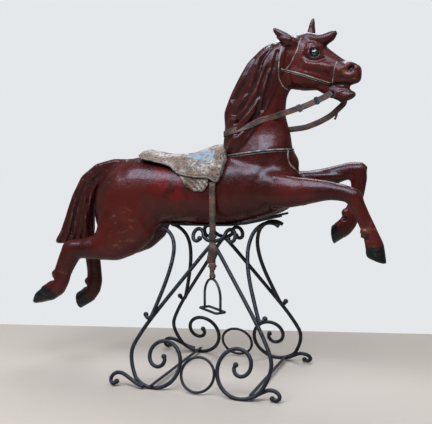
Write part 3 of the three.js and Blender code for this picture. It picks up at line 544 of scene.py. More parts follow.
carving = {
    "voxel": 0.0042,
    "bodyPasses": 26, "limbPasses": 10, "headPasses": 3, "hairPasses": 9, "manePasses": 42,
    "bellyPasses": 30, "hairFill": 0.0035, "maneFill": 0.0062,
    # spans along the horse and up, for the head, the trunk and the seams below it
    "headFrom": 0.22, "headAbove": 1.04, "bodyFrom": -0.5, "bodyTo": 0.36, "hoofSpare": -0.08,
    "seamLow": 0.56, "seamHigh": 0.69, "seamOut": 0.05, "seamHalf": 0.022, "seamFrom": -0.32, "seamTo": 0.34,
    "chestLow": 0.61, "chestHigh": 0.725, "chestFrom": 0.14, "chestTo": 0.36,
    "hornStep": 0.0012, "hornEdge": 0.003, "lidFade": 0.004, "hollowGain": 2.2, "rubGain": 1.6,
    # uneven hand work: how often along a metre, and how high
    "wobble": [(9, 0.0022), (30, 0.0005)],
    "eye": (0.384, 0.047, 1.256), "eyeRadius": 0.0152, "lidRadius": 0.0195, "lidThickness": 0.0052,
    "lidReach": 0.0255,
    # what rounds the ears out: place, half sizes and lean
    "ears": [((0.272, -0.049, 1.316), (0.056, 0.015, 0.0175), 0.622),
             ((0.352, 0.037, 1.345), (0.052, 0.012, 0.014), -1.4)],
    # strokes of the gouge: path on the side view, half width, depth (raised above zero), shade,
    # and where it is cut
    "strokes": [
        ([(0.125, 0.972), (0.225, 0.978)], 0.075, -0.008, 0.0, "both"),
        ([(0.512, 1.196), (0.524, 1.207)], 0.0125, -0.012, 1.0, "both"),
        ([(0.494, 1.205), (0.504, 1.222), (0.524, 1.224)], 0.011, 0.004, 0.0, "both"),
        ([(0.352, 1.270), (0.376, 1.288), (0.404, 1.280)], 0.012, 0.0065, 0.0, "both"),
        ([(0.346, 1.248), (0.362, 1.229), (0.394, 1.225), (0.420, 1.236)], 0.009, -0.005, 0.3, "both"),
        ([(0.415, 1.264), (0.450, 1.250), (0.478, 1.238)], 0.032, -0.0060, 0.0, "both"),
        ([(0.366, 1.216), (0.400, 1.212), (0.444, 1.200), (0.470, 1.187)], 0.027, 0.008, 0.0, "both"),
        ([(0.352, 1.197), (0.392, 1.186), (0.436, 1.172)], 0.014, -0.004, 0.0, "both"),
        ([(0.488, 1.190), (0.508, 1.184), (0.530, 1.192)], 0.009, -0.003, 0.2, "both"),
        ([(0.478, 1.168), (0.505, 1.160), (0.540, 1.168)], 0.007, -0.0035, 0.4, "both"),
        ([(0.440, 1.136), (0.462, 1.143), (0.500, 1.142)], 0.008, -0.006, 0.9, "both"),
        ([(0.476, 1.118), (0.505, 1.122), (0.525, 1.118)], 0.006, 0.003, 0.0, "both"),
        ([(0.292, 1.236), (0.286, 1.19), (0.30, 1.14)], 0.010, -0.004, 0.1, "both"),
        ([(0.240, 0.880), (0.224, 0.84), (0.206, 0.795), (0.214, 0.75)], 0.038, -0.0035, 0.0, "both"),
        ([(0.256, 0.806), (0.330, 0.806), (0.420, 0.800), (0.470, 0.796)], 0.018, 0.004, 0.0, "both"),
        ([(-0.262, 0.528), (-0.225, 0.556), (-0.172, 0.600)], 0.005, -0.003, 0.9, "near"),
        ([(-0.245, 0.700), (-0.262, 0.640), (-0.245, 0.585)], 0.030, -0.006, 0.0, "both"),
        # the tufts and the notches behind the fetlocks
        ([(-0.676, 0.388), (-0.690, 0.381)], 0.016, 0.009, 0.0, "nearRound"),
        ([(-0.690, 0.361), (-0.682, 0.361)], 0.012, -0.011, 0.6, "nearRound"),
        ([(-0.700, 0.343), (-0.735, 0.328)], 0.014, 0.005, 0.0, "nearRound"),
        ([(-0.632, 0.322), (-0.626, 0.326)], 0.016, 0.009, 0.0, "farRound"),
        ([(-0.636, 0.300), (-0.628, 0.300)], 0.012, -0.010, 0.6, "farRound"),
        ([(0.582, 0.612), (0.590, 0.614)], 0.016, 0.009, 0.0, "nearRound"),
        ([(0.588, 0.590), (0.596, 0.590)], 0.011, -0.010, 0.6, "nearRound"),
        ([(0.474, 0.660), (0.482, 0.664)], 0.016, 0.008, 0.0, "farRound"),
        ([(0.478, 0.640), (0.486, 0.638)], 0.011, -0.010, 0.6, "farRound"),
        # the valleys of the tail
        ([(-0.500, 0.795), (-0.546, 0.750), (-0.556, 0.700), (-0.556, 0.628), (-0.550, 0.540)],
         0.010, -0.006, 0.5, "both"),
        ([(-0.570, 0.755), (-0.598, 0.700), (-0.618, 0.618), (-0.634, 0.540)], 0.010, -0.006, 0.5, "both"),
        ([(-0.626, 0.690), (-0.646, 0.630), (-0.668, 0.560)], 0.008, -0.004, 0.4, "both"),
        # the valleys between the locks of the mane
        ([(0.222, 1.280), (0.190, 1.235), (0.180, 1.191), (0.158, 1.133), (0.124, 1.081), (0.080, 1.030)],
         0.014, -0.011, 0.55, "near"),
        ([(0.216, 1.206), (0.194, 1.155), (0.182, 1.103), (0.142, 1.052), (0.090, 1.000)],
         0.013, -0.010, 0.55, "near"),
        ([(0.152, 1.240), (0.126, 1.191), (0.105, 1.140), (0.072, 1.090)], 0.013, -0.009, 0.5, "near"),
        ([(0.190, 1.103), (0.178, 1.037), (0.149, 0.998), (0.098, 0.960)], 0.012, -0.009, 0.5, "near"),
        ([(0.248, 1.262), (0.234, 1.20), (0.216, 1.13), (0.195, 1.05)], 0.011, -0.008, 0.5, "near"),
    ],
    # side outlines of the hair, x and z
    "mane": [(0.30, 1.31), (0.272, 1.262), (0.268, 1.20), (0.235, 1.11), (0.20, 1.04), (0.15, 0.95),
             (0.09, 0.885),
             (0.02, 0.90), (0.0, 1.05), (0.06, 1.20), (0.18, 1.33)],
    "tail": [(-0.372, 0.856), (-0.46, 0.856), (-0.56, 0.83), (-0.68, 0.64), (-0.74, 0.48), (-0.53, 0.49),
             (-0.526, 0.66), (-0.505, 0.74), (-0.46, 0.80), (-0.38, 0.834)],
    "forelock": [(0.33, 1.345), (0.345, 1.30), (0.375, 1.296), (0.41, 1.278), (0.44, 1.286), (0.48, 1.36),
                 (0.38, 1.36)],
    # hooves: a point on the coronet, the way down to the sole, and how far the horn reaches
    "hooves": [((0.618, 0.561), (0.14, -0.99)), ((0.462, 0.594), (-0.80, -0.60)),
               ((-0.702, 0.321), (-0.86, -0.51)), ((-0.622, 0.258), (-0.72, -0.69))],
    "hoofReach": 0.105,
    # rubbed places: centre and radius
    "rubbed": [((-0.355, -0.14, 0.62), 0.07), ((-0.36, -0.14, 0.56), 0.065), ((-0.30, -0.14, 0.50), 0.05),
               ((0.525, -0.04, 1.18), 0.06), ((0.51, -0.04, 1.12), 0.045), ((0.60, -0.10, 0.60), 0.06),
               ((-0.42, -0.12, 0.80), 0.06), ((-0.62, -0.1, 0.42), 0.05)],
}


def addLids(bm):
    x, out, z = carving["eye"]
    for side in sides.values():
        ring = bmesh.new()
        made = bmesh.ops.create_circle(ring, cap_ends=False, segments=10, radius=carving["lidThickness"],
                                       matrix=Matrix.Translation((carving["lidRadius"], 0, 0))
                                       @ Matrix.Rotation(math.pi / 2, 4, "X"))
        bmesh.ops.spin(ring, geom=made["verts"] + ring.edges[:], cent=(0, 0, 0), axis=(0, 0, 1),
                       angle=2 * math.pi, steps=28, use_merge=True)
        bmesh.ops.remove_doubles(ring, verts=ring.verts, dist=1e-5)
        facing = Vector((0.28, side, 0.12)).to_track_quat("Z", "Y").to_matrix().to_4x4()
        place = Matrix.Translation(at(x, side * (out + 0.006), z)) @ facing @ Matrix.Diagonal((1.12, 0.92,
                                                                                               1, 1))
        bmesh.ops.transform(ring, matrix=place, verts=ring.verts)
        bmesh.ops.recalc_face_normals(ring, faces=ring.faces)
        bm.from_mesh(written(ring))


def strokeShare(path, halfWidth, x, z):
    nearest = halfWidth
    for (x1, z1), (x2, z2) in zip(path, path[1:]):
        dx, dz = x2 - x1, z2 - z1
        t = min(max(((x - x1) * dx + (z - z1) * dz) / (dx * dx + dz * dz), 0), 1)
        nearest = min(nearest, math.hypot(x - x1 - t * dx, z - z1 - t * dz))
    return (1 - (nearest / halfWidth) ** 2) ** 2


def gouge(bm):
    bm.normal_update()
    normals = [v.normal.copy() for v in bm.verts]
    shades = [0.0] * len(normals)
    for path, halfWidth, depth, shade, where in carving["strokes"]:
        side = 0 if where == "both" else far if where.startswith("far") else near
        low = [min(p[k] for p in path) - halfWidth for k in (0, 1)]
        high = [max(p[k] for p in path) + halfWidth for k in (0, 1)]
        for v, normal in zip(bm.verts, normals):
            x, z = v.co.x - standX, v.co.z
            outward = 1 if "Round" in where else abs(normal.y) if side == 0 else side * normal.y
            if low[0] < x < high[0] and low[1] < z < high[1] and outward > 0.1 and side * v.co.y >= 0:
                share = strokeShare(path, halfWidth, x, z) * min(1, outward * 2)
                v.co += normal * (depth * share)
                shades[v.index] = max(shades[v.index], shade * share)
    return shades


def carveHorse():
    c = carving
    bm = opened(nodes["horse"].data)
    bmesh.ops.remove_doubles(bm, verts=bm.verts, dist=1e-5)
    addLids(bm)
    for place, half, lean in carving["ears"]:
        ballInto(bm, at(*place), half, Matrix.Rotation(lean, 4, "Y"))
    mesh = remeshed(bm, carving["voxel"] * (1))
    bm = opened(mesh)

    def isTail(p):
        return abs(p.y) < 0.048 and insideOutline(carving["tail"], p.x - standX, p.z)

    def isMane(p):
        return (p.y < 0.012 or p.x < standX + 0.12) and insideOutline(carving["mane"], p.x - standX, p.z)

    def isForelock(p):
        return abs(p.y) < 0.045 and insideOutline(carving["forelock"], p.x - standX, p.z)

    def isHair(p):
        return isTail(p) or isMane(p) or isForelock(p)

    def isHead(p):
        return p.x > standX + c["headFrom"] and p.z > c["headAbove"]

    def hoofDepth(p):
        deepest = -1.0
        for (x, z), (dx, dz) in carving["hooves"]:
            ax, az = p.x - standX - x, p.z - z
            if math.hypot(ax, az) < carving["hoofReach"]:
                deepest = max(deepest, ax * dx + az * dz)
        return deepest

    def isTrunk(p):
        return standX + c["bodyFrom"] < p.x < standX + c["bodyTo"] and hoofDepth(p) < 0

    def isSeam(p):
        return (c["seamLow"] < p.z < c["seamHigh"] and abs(abs(p.y) - c["seamOut"]) < c["seamHalf"]
                and c["seamFrom"] < p.x - standX < c["seamTo"])

    def isChest(p):
        return c["chestLow"] < p.z < c["chestHigh"] and c["chestFrom"] < p.x - standX < c["chestTo"]

    smoothWhere(bm, lambda p: True, c["hairPasses"])
    smoothWhere(bm, isMane, c["manePasses"])
    smoothWhere(bm, lambda p: not isHair(p), c["headPasses"])
    smoothWhere(bm, lambda p: not isHair(p) and not isHead(p) and hoofDepth(p) < c["hoofSpare"],
                c["limbPasses"])
    smoothWhere(bm, lambda p: not isHair(p) and not isHead(p) and isTrunk(p), c["bodyPasses"])
    smoothWhere(bm, isSeam, c["bellyPasses"])
    smoothWhere(bm, isChest, c["bellyPasses"])
    bm.normal_update()
    for v in bm.verts:
        if isMane(v.co) or isTail(v.co):
            v.co += v.normal * c["maneFill" if isMane(v.co) else "hairFill"]
    shades = gouge(bm)
    smoothWhere(bm, lambda p: True, 1, 0.35)
    for v in bm.verts:
        if hoofDepth(v.co) > c["hornEdge"]:
            v.co -= v.normal * c["hornStep"]
        v.co += v.normal * sum(noise.noise(v.co * often) * high for often, high in c["wobble"])
    marks = hollowMarks(bm, 2)
    hoof = [clamped((hoofDepth(v.co) + 0.001) / c["hornEdge"]) for v in bm.verts]
    hair = [1.0 if isHair(v.co) else 0.0 for v in bm.verts]
    x, out, z = c["eye"]
    lid = [clamped((c["lidReach"] - (v.co - at(x, math.copysign(out, v.co.y), z)).length) / c["lidFade"])
           for v in bm.verts]
    rubbed = [min(1.0, sum(max(0.0, 1 - (v.co - at(*centre)).length / radius) * c["rubGain"]
                           for centre, radius in c["rubbed"])) for v in bm.verts]
    written(bm, mesh)
    # hollow paints shade into the hollows and worn rims onto the ridges; shade is painted shade round the
    # eyes and in the strokes
    setAttribute(mesh, "hollow", [clamped(0.5 + mark * c["hollowGain"]) for mark in marks])
    setAttribute(mesh, "hoof", hoof)
    setAttribute(mesh, "hair", hair)
    setAttribute(mesh, "shade", [max(pair) for pair in zip(lid, shades)])
    setAttribute(mesh, "rubbed", rubbed)
    return smoothShaded(mesh)


horse = addPiece("carvedHorse", carveHorse(), redPaint)
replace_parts(horse, "horse")
skin = BVHTree.FromObject(horse, bpy.context.evaluated_depsgraph_get())
print("horse carved", len(horse.data.polygons))


def onSide(tree, x, z, side, lift):
    start = at(x, side * 0.5, z)
    hit, normal, _, _ = tree.ray_cast(start, Vector((0, -side, 0)))
    return None if hit is None else hit + normal * lift


def lineOnSkin(tree, outline, side, lift, perSpan=6):
    flat = easedPath([Vector((x, z)) for x, z in outline], perSpan)
    laid = [onSide(tree, x, z, side, lift) for x, z in flat]
    return [point for point in laid if point is not None]


for sideName, side in sides.items():
    x, out, z = carving["eye"]
    bm = bmesh.new()
    ballInto(bm, at(x, side * out, z), (carving["eyeRadius"],) * 3, segments=28)
    eye = addPiece(f"{sideName}Eye", smoothShaded(written(bm)), darkGlass)
    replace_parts(eye, f"{sideName}_glass_eye")

# carved and gilt harness lines

harness = {
    "cheekPiece": [(0.330, 1.312), (0.321, 1.272), (0.306, 1.240), (0.292, 1.216), (0.277, 1.198)],
    "throatLatch": [(0.262, 1.280), (0.256, 1.230), (0.253, 1.190), (0.255, 1.158), (0.268, 1.132),
                    (0.284, 1.120)],
    "jawStrap": [(0.262, 1.199), (0.300, 1.190), (0.347, 1.177), (0.396, 1.160), (0.440, 1.146)],
    "noseBand": [(0.463, 1.222), (0.458, 1.196), (0.452, 1.166), (0.446, 1.141)],
    "breast": [(0.062, 0.878), (0.123, 0.888), (0.209, 0.900), (0.270, 0.903), (0.300, 0.900)],
    "radius": 0.0025, "breastRadius": 0.0032, "sunk": -0.0006, "breastLift": 0.0012, "plateLift": 0.0005,
    # the dark lines below the gilt ones
    "shadowSunk": -0.001, "breastDrop": 0.0085, "jawDrop": 0.0068,
    "plate": [(0.034, 0.898), (0.040, 0.874), (0.034, 0.846), (0.018, 0.824), (0.002, 0.812)],
}
lines = []
for side in sides.values():
    for part in ("cheekPiece", "throatLatch", "jawStrap", "noseBand"):
        lines.append(sweptMesh(lineOnSkin(skin, harness[part], side, harness["sunk"]), harness["radius"]))
    breast = lineOnSkin(skin, harness["breast"], side, harness["breastLift"])
    lines.append(sweptMesh(breast, harness["breastRadius"]))
    pendant = []
    for out, z in harness["plate"]:
        hit, normal, _, _ = skin.ray_cast(at(0.6, side * out, z), Vector((-1, 0, 0)))
        pendant.append(hit + normal * harness["plateLift"])
    lines.append(sweptMesh(easedPath(pendant, 5), harness["breastRadius"]))
addPiece("harnessLines", joinedMesh(lines), giltLine)
shadows = []
for side in sides.values():
    for part, drop, radius in (("breast", "breastDrop", "breastRadius"), ("jawStrap", "jawDrop", "radius")):
        below = [(x, z - harness[drop]) for x, z in harness[part]]
        shadows.append(sweptMesh(lineOnSkin(skin, below, side, harness["shadowSunk"]), harness[radius]))
addPiece("harnessShadows", joinedMesh(shadows), darkLine)
print("harness lines laid")

# saddle

saddle = {
    "voxel": 0.0032, "passes": 9, "swell": 0.0006, "dents": 0.0012, "hollowGain": 2,
    "rimRadius": 0.0032, "rimLift": 0.0002, "rimSteps": 8,
    "rim": [(-0.306, 0.874), (-0.282, 0.862), (-0.23, 0.852), (-0.166, 0.838), (-0.124, 0.812),
            (-0.062, 0.800),
            (0.0, 0.798), (0.027, 0.786), (0.040, 0.786), (0.050, 0.814), (0.054, 0.860), (0.046, 0.892)],
    "tackStep": 0.019, "tackRadius": 0.0032, "tackFrom": 7, "tackBack": 0.009, "tackOut": 0.001,
}


def padMesh(name):
    bm = opened(nodes[name].data)
    bmesh.ops.remove_doubles(bm, verts=bm.verts, dist=1e-5)
    mesh = remeshed(bm, saddle["voxel"])
    bm = opened(mesh)
    smoothWhere(bm, lambda p: True, saddle["passes"])
    for v in bm.verts:
        v.co += v.normal * (saddle["swell"] + noise.noise(v.co * 24) * saddle["dents"])
    marks = hollowMarks(bm, 1)
    written(bm, mesh)
    # the hollow mark feeds the painted shade in the hide's hollows
    setAttribute(mesh, "hollow", [clamped(0.5 + mark * saddle["hollowGain"]) for mark in marks])
    return smoothShaded(mesh)


seat = addPiece("saddleSeat", padMesh("saddle"), saddleHide)
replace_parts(seat, "saddle")
for sideName in sides:
    flap = addPiece(f"{sideName}Flap", padMesh(f"{sideName}_saddle_flap"), flapHide)
    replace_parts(flap, f"{sideName}_saddle_flap")
seatSkin = BVHTree.FromObject(seat, bpy.context.evaluated_depsgraph_get())
rims = []
bm = bmesh.new()
for side in sides.values():
    path = lineOnSkin(seatSkin, saddle["rim"], side, saddle["rimLift"], saddle["rimSteps"])
    rims.append(sweptMesh(path, saddle["rimRadius"]))
    walked = 0.0
    tacked = path[saddle["rimSteps"] * saddle["tackFrom"]:]
    for start, end in zip(tacked, tacked[1:]):
        walked += (end - start).length
        if walked > saddle["tackStep"]:
            walked = 0.0
            spotOnRim = end + Vector((-saddle["tackBack"], side * saddle["tackOut"], 0))
            ballInto(bm, spotOnRim, (saddle["tackRadius"],) * 3, segments=10)
addPiece("saddleRim", joinedMesh(rims), paleRim)
addPiece("saddleTacks", smoothShaded(written(bm)), tackIron)
print("saddle ready")

# reins and bit

rein = {
    "width": 0.022, "thickness": 0.0036, "centreX": 0.150, "crestZ": 0.960, "lift": 0.0035,
    "riseNear": 0.30, "riseFar": 0.055, "reach": 0.12, "backX": 0.04, "turnFrom": 179.4, "turnTo": 150,
    "turnStep": 6, "endRadius": 0.0042,
    "near": [(0.316, 0.068, 1.050), (0.350, 0.066, 1.061), (0.385, 0.064, 1.076), (0.414, 0.063, 1.089),
             (0.436, 0.0625, 1.100), (0.452, 0.0625, 1.112)],
    "far": [(0.316, 0.070, 0.982), (0.350, 0.069, 0.992), (0.386, 0.067, 1.007), (0.424, 0.065, 1.028),
            (0.450, 0.063, 1.050), (0.474, 0.062, 1.074), (0.474, 0.061, 1.090), (0.462, 0.060, 1.101)],
    "end": [(0.452, 0.066, 1.052), (0.449, 0.067, 1.040), (0.446, 0.066, 1.026), (0.441, 0.064, 1.014)],
}
for sideName, side in sides.items():
    path, outwards = [], []
    rise = rein["riseNear"] if side == near else rein["riseFar"]
    for turn in range(0, rein["turnTo"] + 1, rein["turnStep"]):
        angle = math.radians(rein["turnFrom"] - turn)
        outward = Vector((math.cos(angle), side * math.sin(angle), 0))
        height = rein["crestZ"] + rise * (rein["centreX"] + rein["reach"] * math.cos(angle) - rein["backX"])
        start = at(rein["centreX"], 0, height) + outward * 0.4
        hit, normal, _, _ = skin.ray_cast(start, -outward)
        path.append(hit + outward * rein["lift"])
        outwards.append(outward)
    for _ in range(3):
        inner = [(a + b * 2 + c) / 4 for a, b, c in zip(path, path[1:], path[2:])]
        path = [path[0], *inner, path[-1]]
    free = [at(x, side * out, z) for x, out, z in rein[sideName]]
    path = easedPath(path[::3] + free, 5)
    outwards = easedPath(outwards[::3] + [Vector((0, side, 0))] * len(free), 5)
    strap = ribbonMesh(path, outwards, rein["width"], rein["thickness"])
    if side == far:
        looseEnd = sweptMesh(easedPath([at(*place) for place in rein["end"]], 4), rein["endRadius"])
        strap = joinedMesh([strap, looseEnd])
    piece = addPiece(f"{sideName}Rein", strap, strapLeather)
    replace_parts(piece, f"{sideName}_rein")

bit = {"x": 0.452, "z": 1.120, "out": 0.056, "ring": 0.013, "wire": 0.0036}
bm = bmesh.new()
bars = [sweptMesh([at(bit["x"], -bit["out"], bit["z"]), at(bit["x"], bit["out"], bit["z"])], bit["wire"])]
for side in sides.values():
    ring = [at(bit["x"] + bit["ring"] * math.sin(a * math.pi / 16), side * bit["out"],
               bit["z"] - bit["ring"] + bit["ring"] * math.cos(a * math.pi / 16)) for a in range(32)]
    bars.append(sweptMesh(ring, bit["wire"], closed=True))
bitPiece = addPiece("bitBar", joinedMesh(bars), tackIron)
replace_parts(bitPiece, "bit")
print("reins ready")

# stirrup

stirrup = {
    "x": 0.020, "y": -0.135, "top": 0.780, "bottom": 0.452, "width": 0.025, "thickness": 0.0045,
    "knotTop": 0.548, "knotBottom": 0.470, "knotHalf": (0.0185, 0.0105),
    "turn": -40, "eye": 0.423, "eyeRadius": 0.009, "shoulder": 0.412, "arch": 0.062, "tread": 0.292,
    "half": 0.058, "narrowing": 0.08, "treadHalf": 0.020, "wire": 0.0050, "loopShare": 0.75,
    "voxel": 0.0015, "passes": 3, "sway": 0.0022, "twist": 0.0016,
    # the two bands round the strap: their heights, spare width, depth and height
    "bands": (0.574, 0.461), "bandSpare": 0.007, "bandDepth": 0.0135, "bandHigh": 0.009,
}


def stirrupStrap():
    s = stirrup
    bm = bmesh.new()
    for (bottom, top, shift, width) in (
            (s["bottom"] - 0.004, s["top"], 0, s["width"]), (0.56, s["top"] - 0.01, -0.0048,
                                                             s["width"] * 0.9),
            (0.420, s["bottom"] + 0.02, -0.005, s["width"] * 0.76)):
        place = Matrix.Translation(at(s["x"], s["y"] + shift, (bottom + top) / 2)) @ Matrix.Diagonal(
            (width, s["thickness"], top - bottom, 1))
        made = bmesh.ops.create_cube(bm, size=1, matrix=place)
        upright = [e for e in {e for v in made["verts"] for e in v.link_edges}
                   if abs(e.verts[0].co.z - e.verts[1].co.z) > 0.01]
        bmesh.ops.subdivide_edges(bm, edges=upright, cuts=24)
    for v in bm.verts:
        v.co.y += s["sway"] * noise.noise(Vector((0, 3, v.co.z * 22)))
        v.co.x += s["twist"] * noise.noise(Vector((5, 0, v.co.z * 14)))
    for height in s["bands"]:
        place = Matrix.Translation(at(s["x"], s["y"] - 0.001, height)) @ Matrix.Diagonal(
            (s["width"] + s["bandSpare"], s["bandDepth"], s["bandHigh"], 1))
        bmesh.ops.create_cube(bm, size=1, matrix=place)
    middle = (s["knotTop"] + s["knotBottom"]) / 2
    tall = (s["knotTop"] - s["knotBottom"]) / 2
    for k, (dx, dz, lean) in enumerate(((0, 0, 0.1), (0.004, 0.012, -0.25), (-0.003, -0.014, 0.3))):
        ballInto(bm, at(s["x"] + dx, s["y"] - 0.003 * (k % 2), middle + dz),
                 (*s["knotHalf"], tall * (1 - 0.25 * (k > 0))), Matrix.Rotation(lean, 4, "Y"))
    mesh = remeshed(bm, s["voxel"])
    bm = opened(mesh)
    smoothWhere(bm, lambda p: True, s["passes"])
    return smoothShaded(written(bm, mesh))


def stirrupFrame():
    s = stirrup
    turn = Matrix.Translation(at(s["x"], s["y"], 0)) @ Matrix.Rotation(math.radians(s["turn"]), 4, "Z")
    bow = [Vector((-s["half"], 0, s["tread"])), Vector((-s["half"], 0, s["tread"] + 0.03))]
    for i in range(25):
        angle = math.pi * i / 24
        rise = math.sin(angle)
        bow.append(Vector((-s["half"] * math.cos(angle) * (1 - s["narrowing"] * rise), 0,
                           s["shoulder"] - s["arch"] + s["arch"] * rise)))
    bow += [Vector((s["half"], 0, s["tread"] + 0.03)), Vector((s["half"], 0, s["tread"]))]
    parts = [sweptMesh([turn @ p for p in bow], s["wire"])]
    plate = []
    for sx, sy in ((-1, -1), (1, -1), (1, 1), (-1, 1)):
        corner = Vector((sx * (s["half"] - 0.004), sy * (s["treadHalf"] - 0.006), s["tread"]))
        for k in range(5):
            angle = math.atan2(sy, sx) + math.radians(-45 + 22.5 * k)
            plate.append(corner + Vector((math.cos(angle), math.sin(angle), 0)) * 0.007)
    parts.append(sweptMesh([turn @ p for p in plate], s["wire"], closed=True))
    loop = [at(s["x"] + s["eyeRadius"] * math.sin(a * math.pi / 12), s["y"],
               s["eye"] + s["eyeRadius"] * math.cos(a * math.pi / 12)) for a in range(24)]
    parts.append(sweptMesh(loop, s["wire"] * s["loopShare"], closed=True))
    return joinedMesh(parts)


strapPiece = addPiece("stirrupStrap", stirrupStrap(), strapLeather)
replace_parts(strapPiece, "stirrup_leather")
ironPiece = addPiece("stirrupFrame", stirrupFrame(), tackIron)
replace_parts(ironPiece, "stirrup_iron")
print("stirrup ready")

# wrought iron stand

stand = {
    "foot": 0.275, "lean": 0.385, "bar": 0.0076, "layer": 0.0077, "ball": 0.0104,
    "spiral": {"x": 0.1595, "z": 0.110, "inner": 0.016, "outer": 0.132, "start": 150, "stop": 735,
               "step": 10, "power": 1.4},
    "straight": [(0.262, 0.178), (0.214, 0.255), (0.088, 0.428), (0.008, 0.533), (-0.026, 0.552),
                 (-0.040, 0.564)],
    "top": {"x": -0.062, "z": 0.565, "wide": 0.021, "high": 0.026, "start": 15, "stop": 310, "tuck": 0.5},
    "frontBrace": [(0.234, 0.279), (0.226, 0.268), (0.212, 0.272), (0.200, 0.298), (0.182, 0.345),
                   (0.162, 0.400),
                   (0.146, 0.460), (0.140, 0.515), (0.145, 0.556), (0.158, 0.588), (0.180, 0.610),
                   (0.206, 0.621),
                   (0.232, 0.620), (0.251, 0.610)],
    "backBrace": [(0.236, 0.265), (0.228, 0.254), (0.214, 0.258), (0.204, 0.284), (0.188, 0.334),
                  (0.172, 0.390),
                  (0.160, 0.445), (0.155, 0.500), (0.162, 0.540), (0.178, 0.566), (0.200, 0.583),
                  (0.222, 0.589)],
    "frontScroll": [(0.206, 0.011), (0.230, 0.019), (0.254, 0.031), (0.276, 0.040), (0.300, 0.038),
                    (0.316, 0.027),
                    (0.317, 0.015), (0.305, 0.009), (0.292, 0.013)],
    "backScroll": [(0.206, 0.011), (0.240, 0.022), (0.272, 0.038), (0.300, 0.050), (0.324, 0.050),
                   (0.341, 0.037),
                   (0.343, 0.020), (0.331, 0.011), (0.319, 0.020)],
    "ring": {"z": 0.069, "radius": 0.0648, "wire": 0.0054},
    "crossWidth": 0.012,
}


def framePoint(x, z, side, hand, layer):
    out = stand["foot"] - stand["lean"] * z + layer * math.hypot(1, stand["lean"])
    return at(hand * x, side * out, z)


def legPath():
    s, top = stand["spiral"], stand["top"]
    points = []
    for angle in range(s["start"], s["stop"] + 1, s["step"]):
        share = (angle - s["start"]) / (s["stop"] - s["start"])
        radius = s["inner"] + (s["outer"] - s["inner"]) * share ** s["power"]
        turn = math.radians(angle)
        points.append((s["x"] + radius * math.cos(turn), s["z"] + radius * math.sin(turn)))
    scroll = []
    for i in range(19):
        turn = math.radians(top["start"] + (top["stop"] - top["start"]) * i / 18)
        size = 1 - (1 - top["tuck"]) * max(0, (i - 12) / 6)
        scroll.append((top["x"] + size * top["wide"] * math.cos(turn),
                       top["z"] + size * top["high"] * math.sin(turn)))
    straight = easedPath([Vector(p) for p in [points[-1], *stand["straight"], scroll[0]]], 5)[1:-1]
    path = [Vector(p) for p in points] + straight + [Vector(p) for p in scroll]
    # the spiral runs smoothly into the straight
    joint = len(points) - 1
    for _ in range(8):
        for i in range(joint - 4, joint + 7):
            path[i] = (path[i - 1] + path[i] * 2 + path[i + 1]) / 4
    return [tuple(p) for p in path]


def forged(points, side, hand, layer, ends):
    path = [framePoint(x, z, side, hand, layer) for x, z in points]
    bar = sweptMesh(path, stand["bar"])
    bm = bmesh.new()
    for end in ends:
        ballInto(bm, path[end], (stand["ball"], stand["ball"] * 0.85, stand["ball"]), segments=14)
    return joinedMesh([bar, written(bm)])


def easedOutline(points):
    return [tuple(p) for p in easedPath([Vector(p) for p in points], 4)]


for sideName, side in sides.items():
    for handName, hand in (("front", 1), ("back", -1)):
        layer = hand * stand["layer"]
        brace, scroll = stand[f"{handName}Brace"], stand[f"{handName}Scroll"]
        for part, points, depth, ends in (
                ("leg", legPath(), layer, (0, -1)), ("brace", easedOutline(brace), -layer, (0,)),
                ("foot_scroll", easedOutline(scroll), -layer, (-1,))):
            mesh = forged(points, side, hand, depth, ends)
            if part == "leg":
                # the legs stand flat on the floor
                bm = opened(mesh)
                for v in bm.verts:
                    v.co.z = max(v.co.z, 0.0)
                written(bm, mesh)
            pieceName = f"{sideName}{handName.title()}{part.title().replace('_', '')}"
            piece = addPiece(pieceName, mesh, standIron)
            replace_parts(piece, f"{sideName}_{handName}_{part}")
    ring = stand["ring"]
    tilt = Vector((0, -side * stand["lean"], 1)).normalized()
    middle = framePoint(0, ring["z"], side, 1, 0)
    hoop = [middle + Vector((1, 0, 0)) * ring["radius"] * math.cos(a * math.pi / 24)
            + tilt * ring["radius"] * math.sin(a * math.pi / 24) for a in range(48)]
    hoopMesh = sweptMesh(hoop, ring["wire"], closed=True)
    piece = addPiece(f"{sideName}FloorRing", hoopMesh, standIron)
    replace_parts(piece, f"{sideName}_floor_ring")

for name in ("front_cross_bar", "back_cross_bar"):
    low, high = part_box(name)
    ends = [Vector(((low.x + high.x) / 2, y, (low.z + high.z) / 2)) for y in (low.y, high.y)]
    bar = ribbonMesh(ends, [Vector((0, 0, 1))] * 2, stand["crossWidth"], high.z - low.z)
    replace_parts(addPiece(name.title().replace("_", ""), bar, standIron), name)
for name, material in (("near_rail", standIron), ("far_rail", standIron), ("rein_keeper", strapLeather),
                       ("rein_buckle", tackIron)):
    nodes[name].data.materials.clear()
    nodes[name].data.materials.append(material)
print("stand ready")

# floor, light and camera

studio = {
    "floor": (0.38, 0.315, 0.24), "wallLine": ((-1.295, 0.417), (0.765, 0.913)), "reach": 7,
    "floorDrop": 0.0005, "sensor": 36,
    "sky": (0.94, 0.97, 1.0), "skyLight": 0.21, "skySeen": 0.83,
    # place, target, size, power and colour of each softbox
    "boxes": [((0.35, -2.2, 3.0), (0.1, 0, 0.9), 1.4, 108, (0.72, 0.80, 1.0)),
              ((-1.6, -1.9, 3.4), (-0.2, 0, 0.8), 1.9, 150, (0.70, 0.79, 1.0)),
              ((1.35, -1.05, 3.2), (0.4, 0, 1.1), 1.6, 66, (0.70, 0.79, 1.0)),
              ((-0.2, 1.6, 3.3), (-0.1, 0, 0.9), 2.0, 105, (0.76, 0.85, 1.0))],
    "eye": (1.0235, -3.0416, 1.0071), "yaw": 18.795, "pitch": -6.297, "lens": 68.46,
}
bm = bmesh.new()
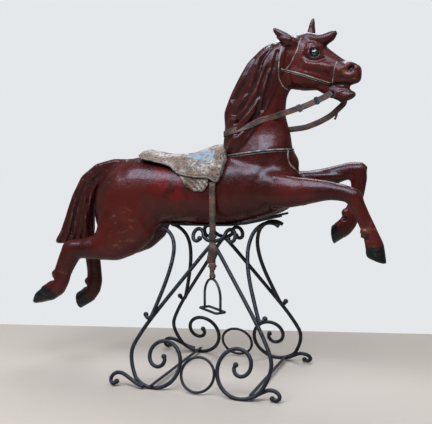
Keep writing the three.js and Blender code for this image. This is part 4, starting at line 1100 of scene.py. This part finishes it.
# the floor ends along the foot of the wall behind the horse
wallStart, wallEnd = (Vector(place) for place in studio["wallLine"])
wallWay = (wallEnd - wallStart).normalized()
forward = Vector((wallWay.y, -wallWay.x))
middle = (wallStart + wallEnd) / 2
corners = [middle + wallWay * a * studio["reach"] + forward * b * studio["reach"]
           for a, b in ((-1, 0), (1, 0), (1, 1), (-1, 1))]
bm.faces.new([bm.verts.new((standX + corner.x, corner.y, 0)) for corner in corners])
bmesh.ops.recalc_face_normals(bm, faces=bm.faces)
floor = newObject("floor", written(bm))
floor.location.z = -studio["floorDrop"]
floorPaint = startMaterial("paleFloor", Base_Color=(*studio["floor"], 1), Roughness=0.6)[0]
floor.data.materials.append(floorPaint)
floor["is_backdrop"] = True

world = bpy.data.worlds.new("studio")
world.use_nodes = True
sky = world.node_tree.nodes["Background"]
sky.inputs["Color"].default_value = (*studio["sky"], 1)
# the backdrop is seen brighter than it lights
seen = put(world.node_tree, "ShaderNodeLightPath").outputs["Is Camera Ray"]
brightness = calc(world.node_tree, "MULTIPLY_ADD", seen, studio["skySeen"] - studio["skyLight"],
                  studio["skyLight"])
wire(world.node_tree, brightness, sky.inputs["Strength"])
bpy.context.scene.world = world
for number, (place, target, size, power, colour) in enumerate(studio["boxes"]):
    lamp = bpy.data.lights.new(f"softbox{number}", "AREA")
    lamp.size = size
    lamp.energy = power
    lamp.color = colour
    holder = newObject(f"softbox{number}", lamp)
    holder.location = place
    holder.rotation_euler = (Vector(target) - Vector(place)).to_track_quat("-Z", "Y").to_euler()

lens = bpy.data.cameras.new("view")
lens.lens = studio["lens"]
lens.sensor_width = studio["sensor"]
camera = newObject("view", lens)
camera.location = at(*studio["eye"])
camera.rotation_euler = (math.radians(90 + studio["pitch"]), 0, math.radians(studio["yaw"]))
bpy.context.scene.camera = camera
# the default transform eats into thin dark bars in front of a bright backdrop
bpy.context.scene.view_settings.view_transform = "Standard"
print("studio ready")

size = {"cad": [list(corner) for corner in cadBox], "visual": [list(corner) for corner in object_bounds()]}
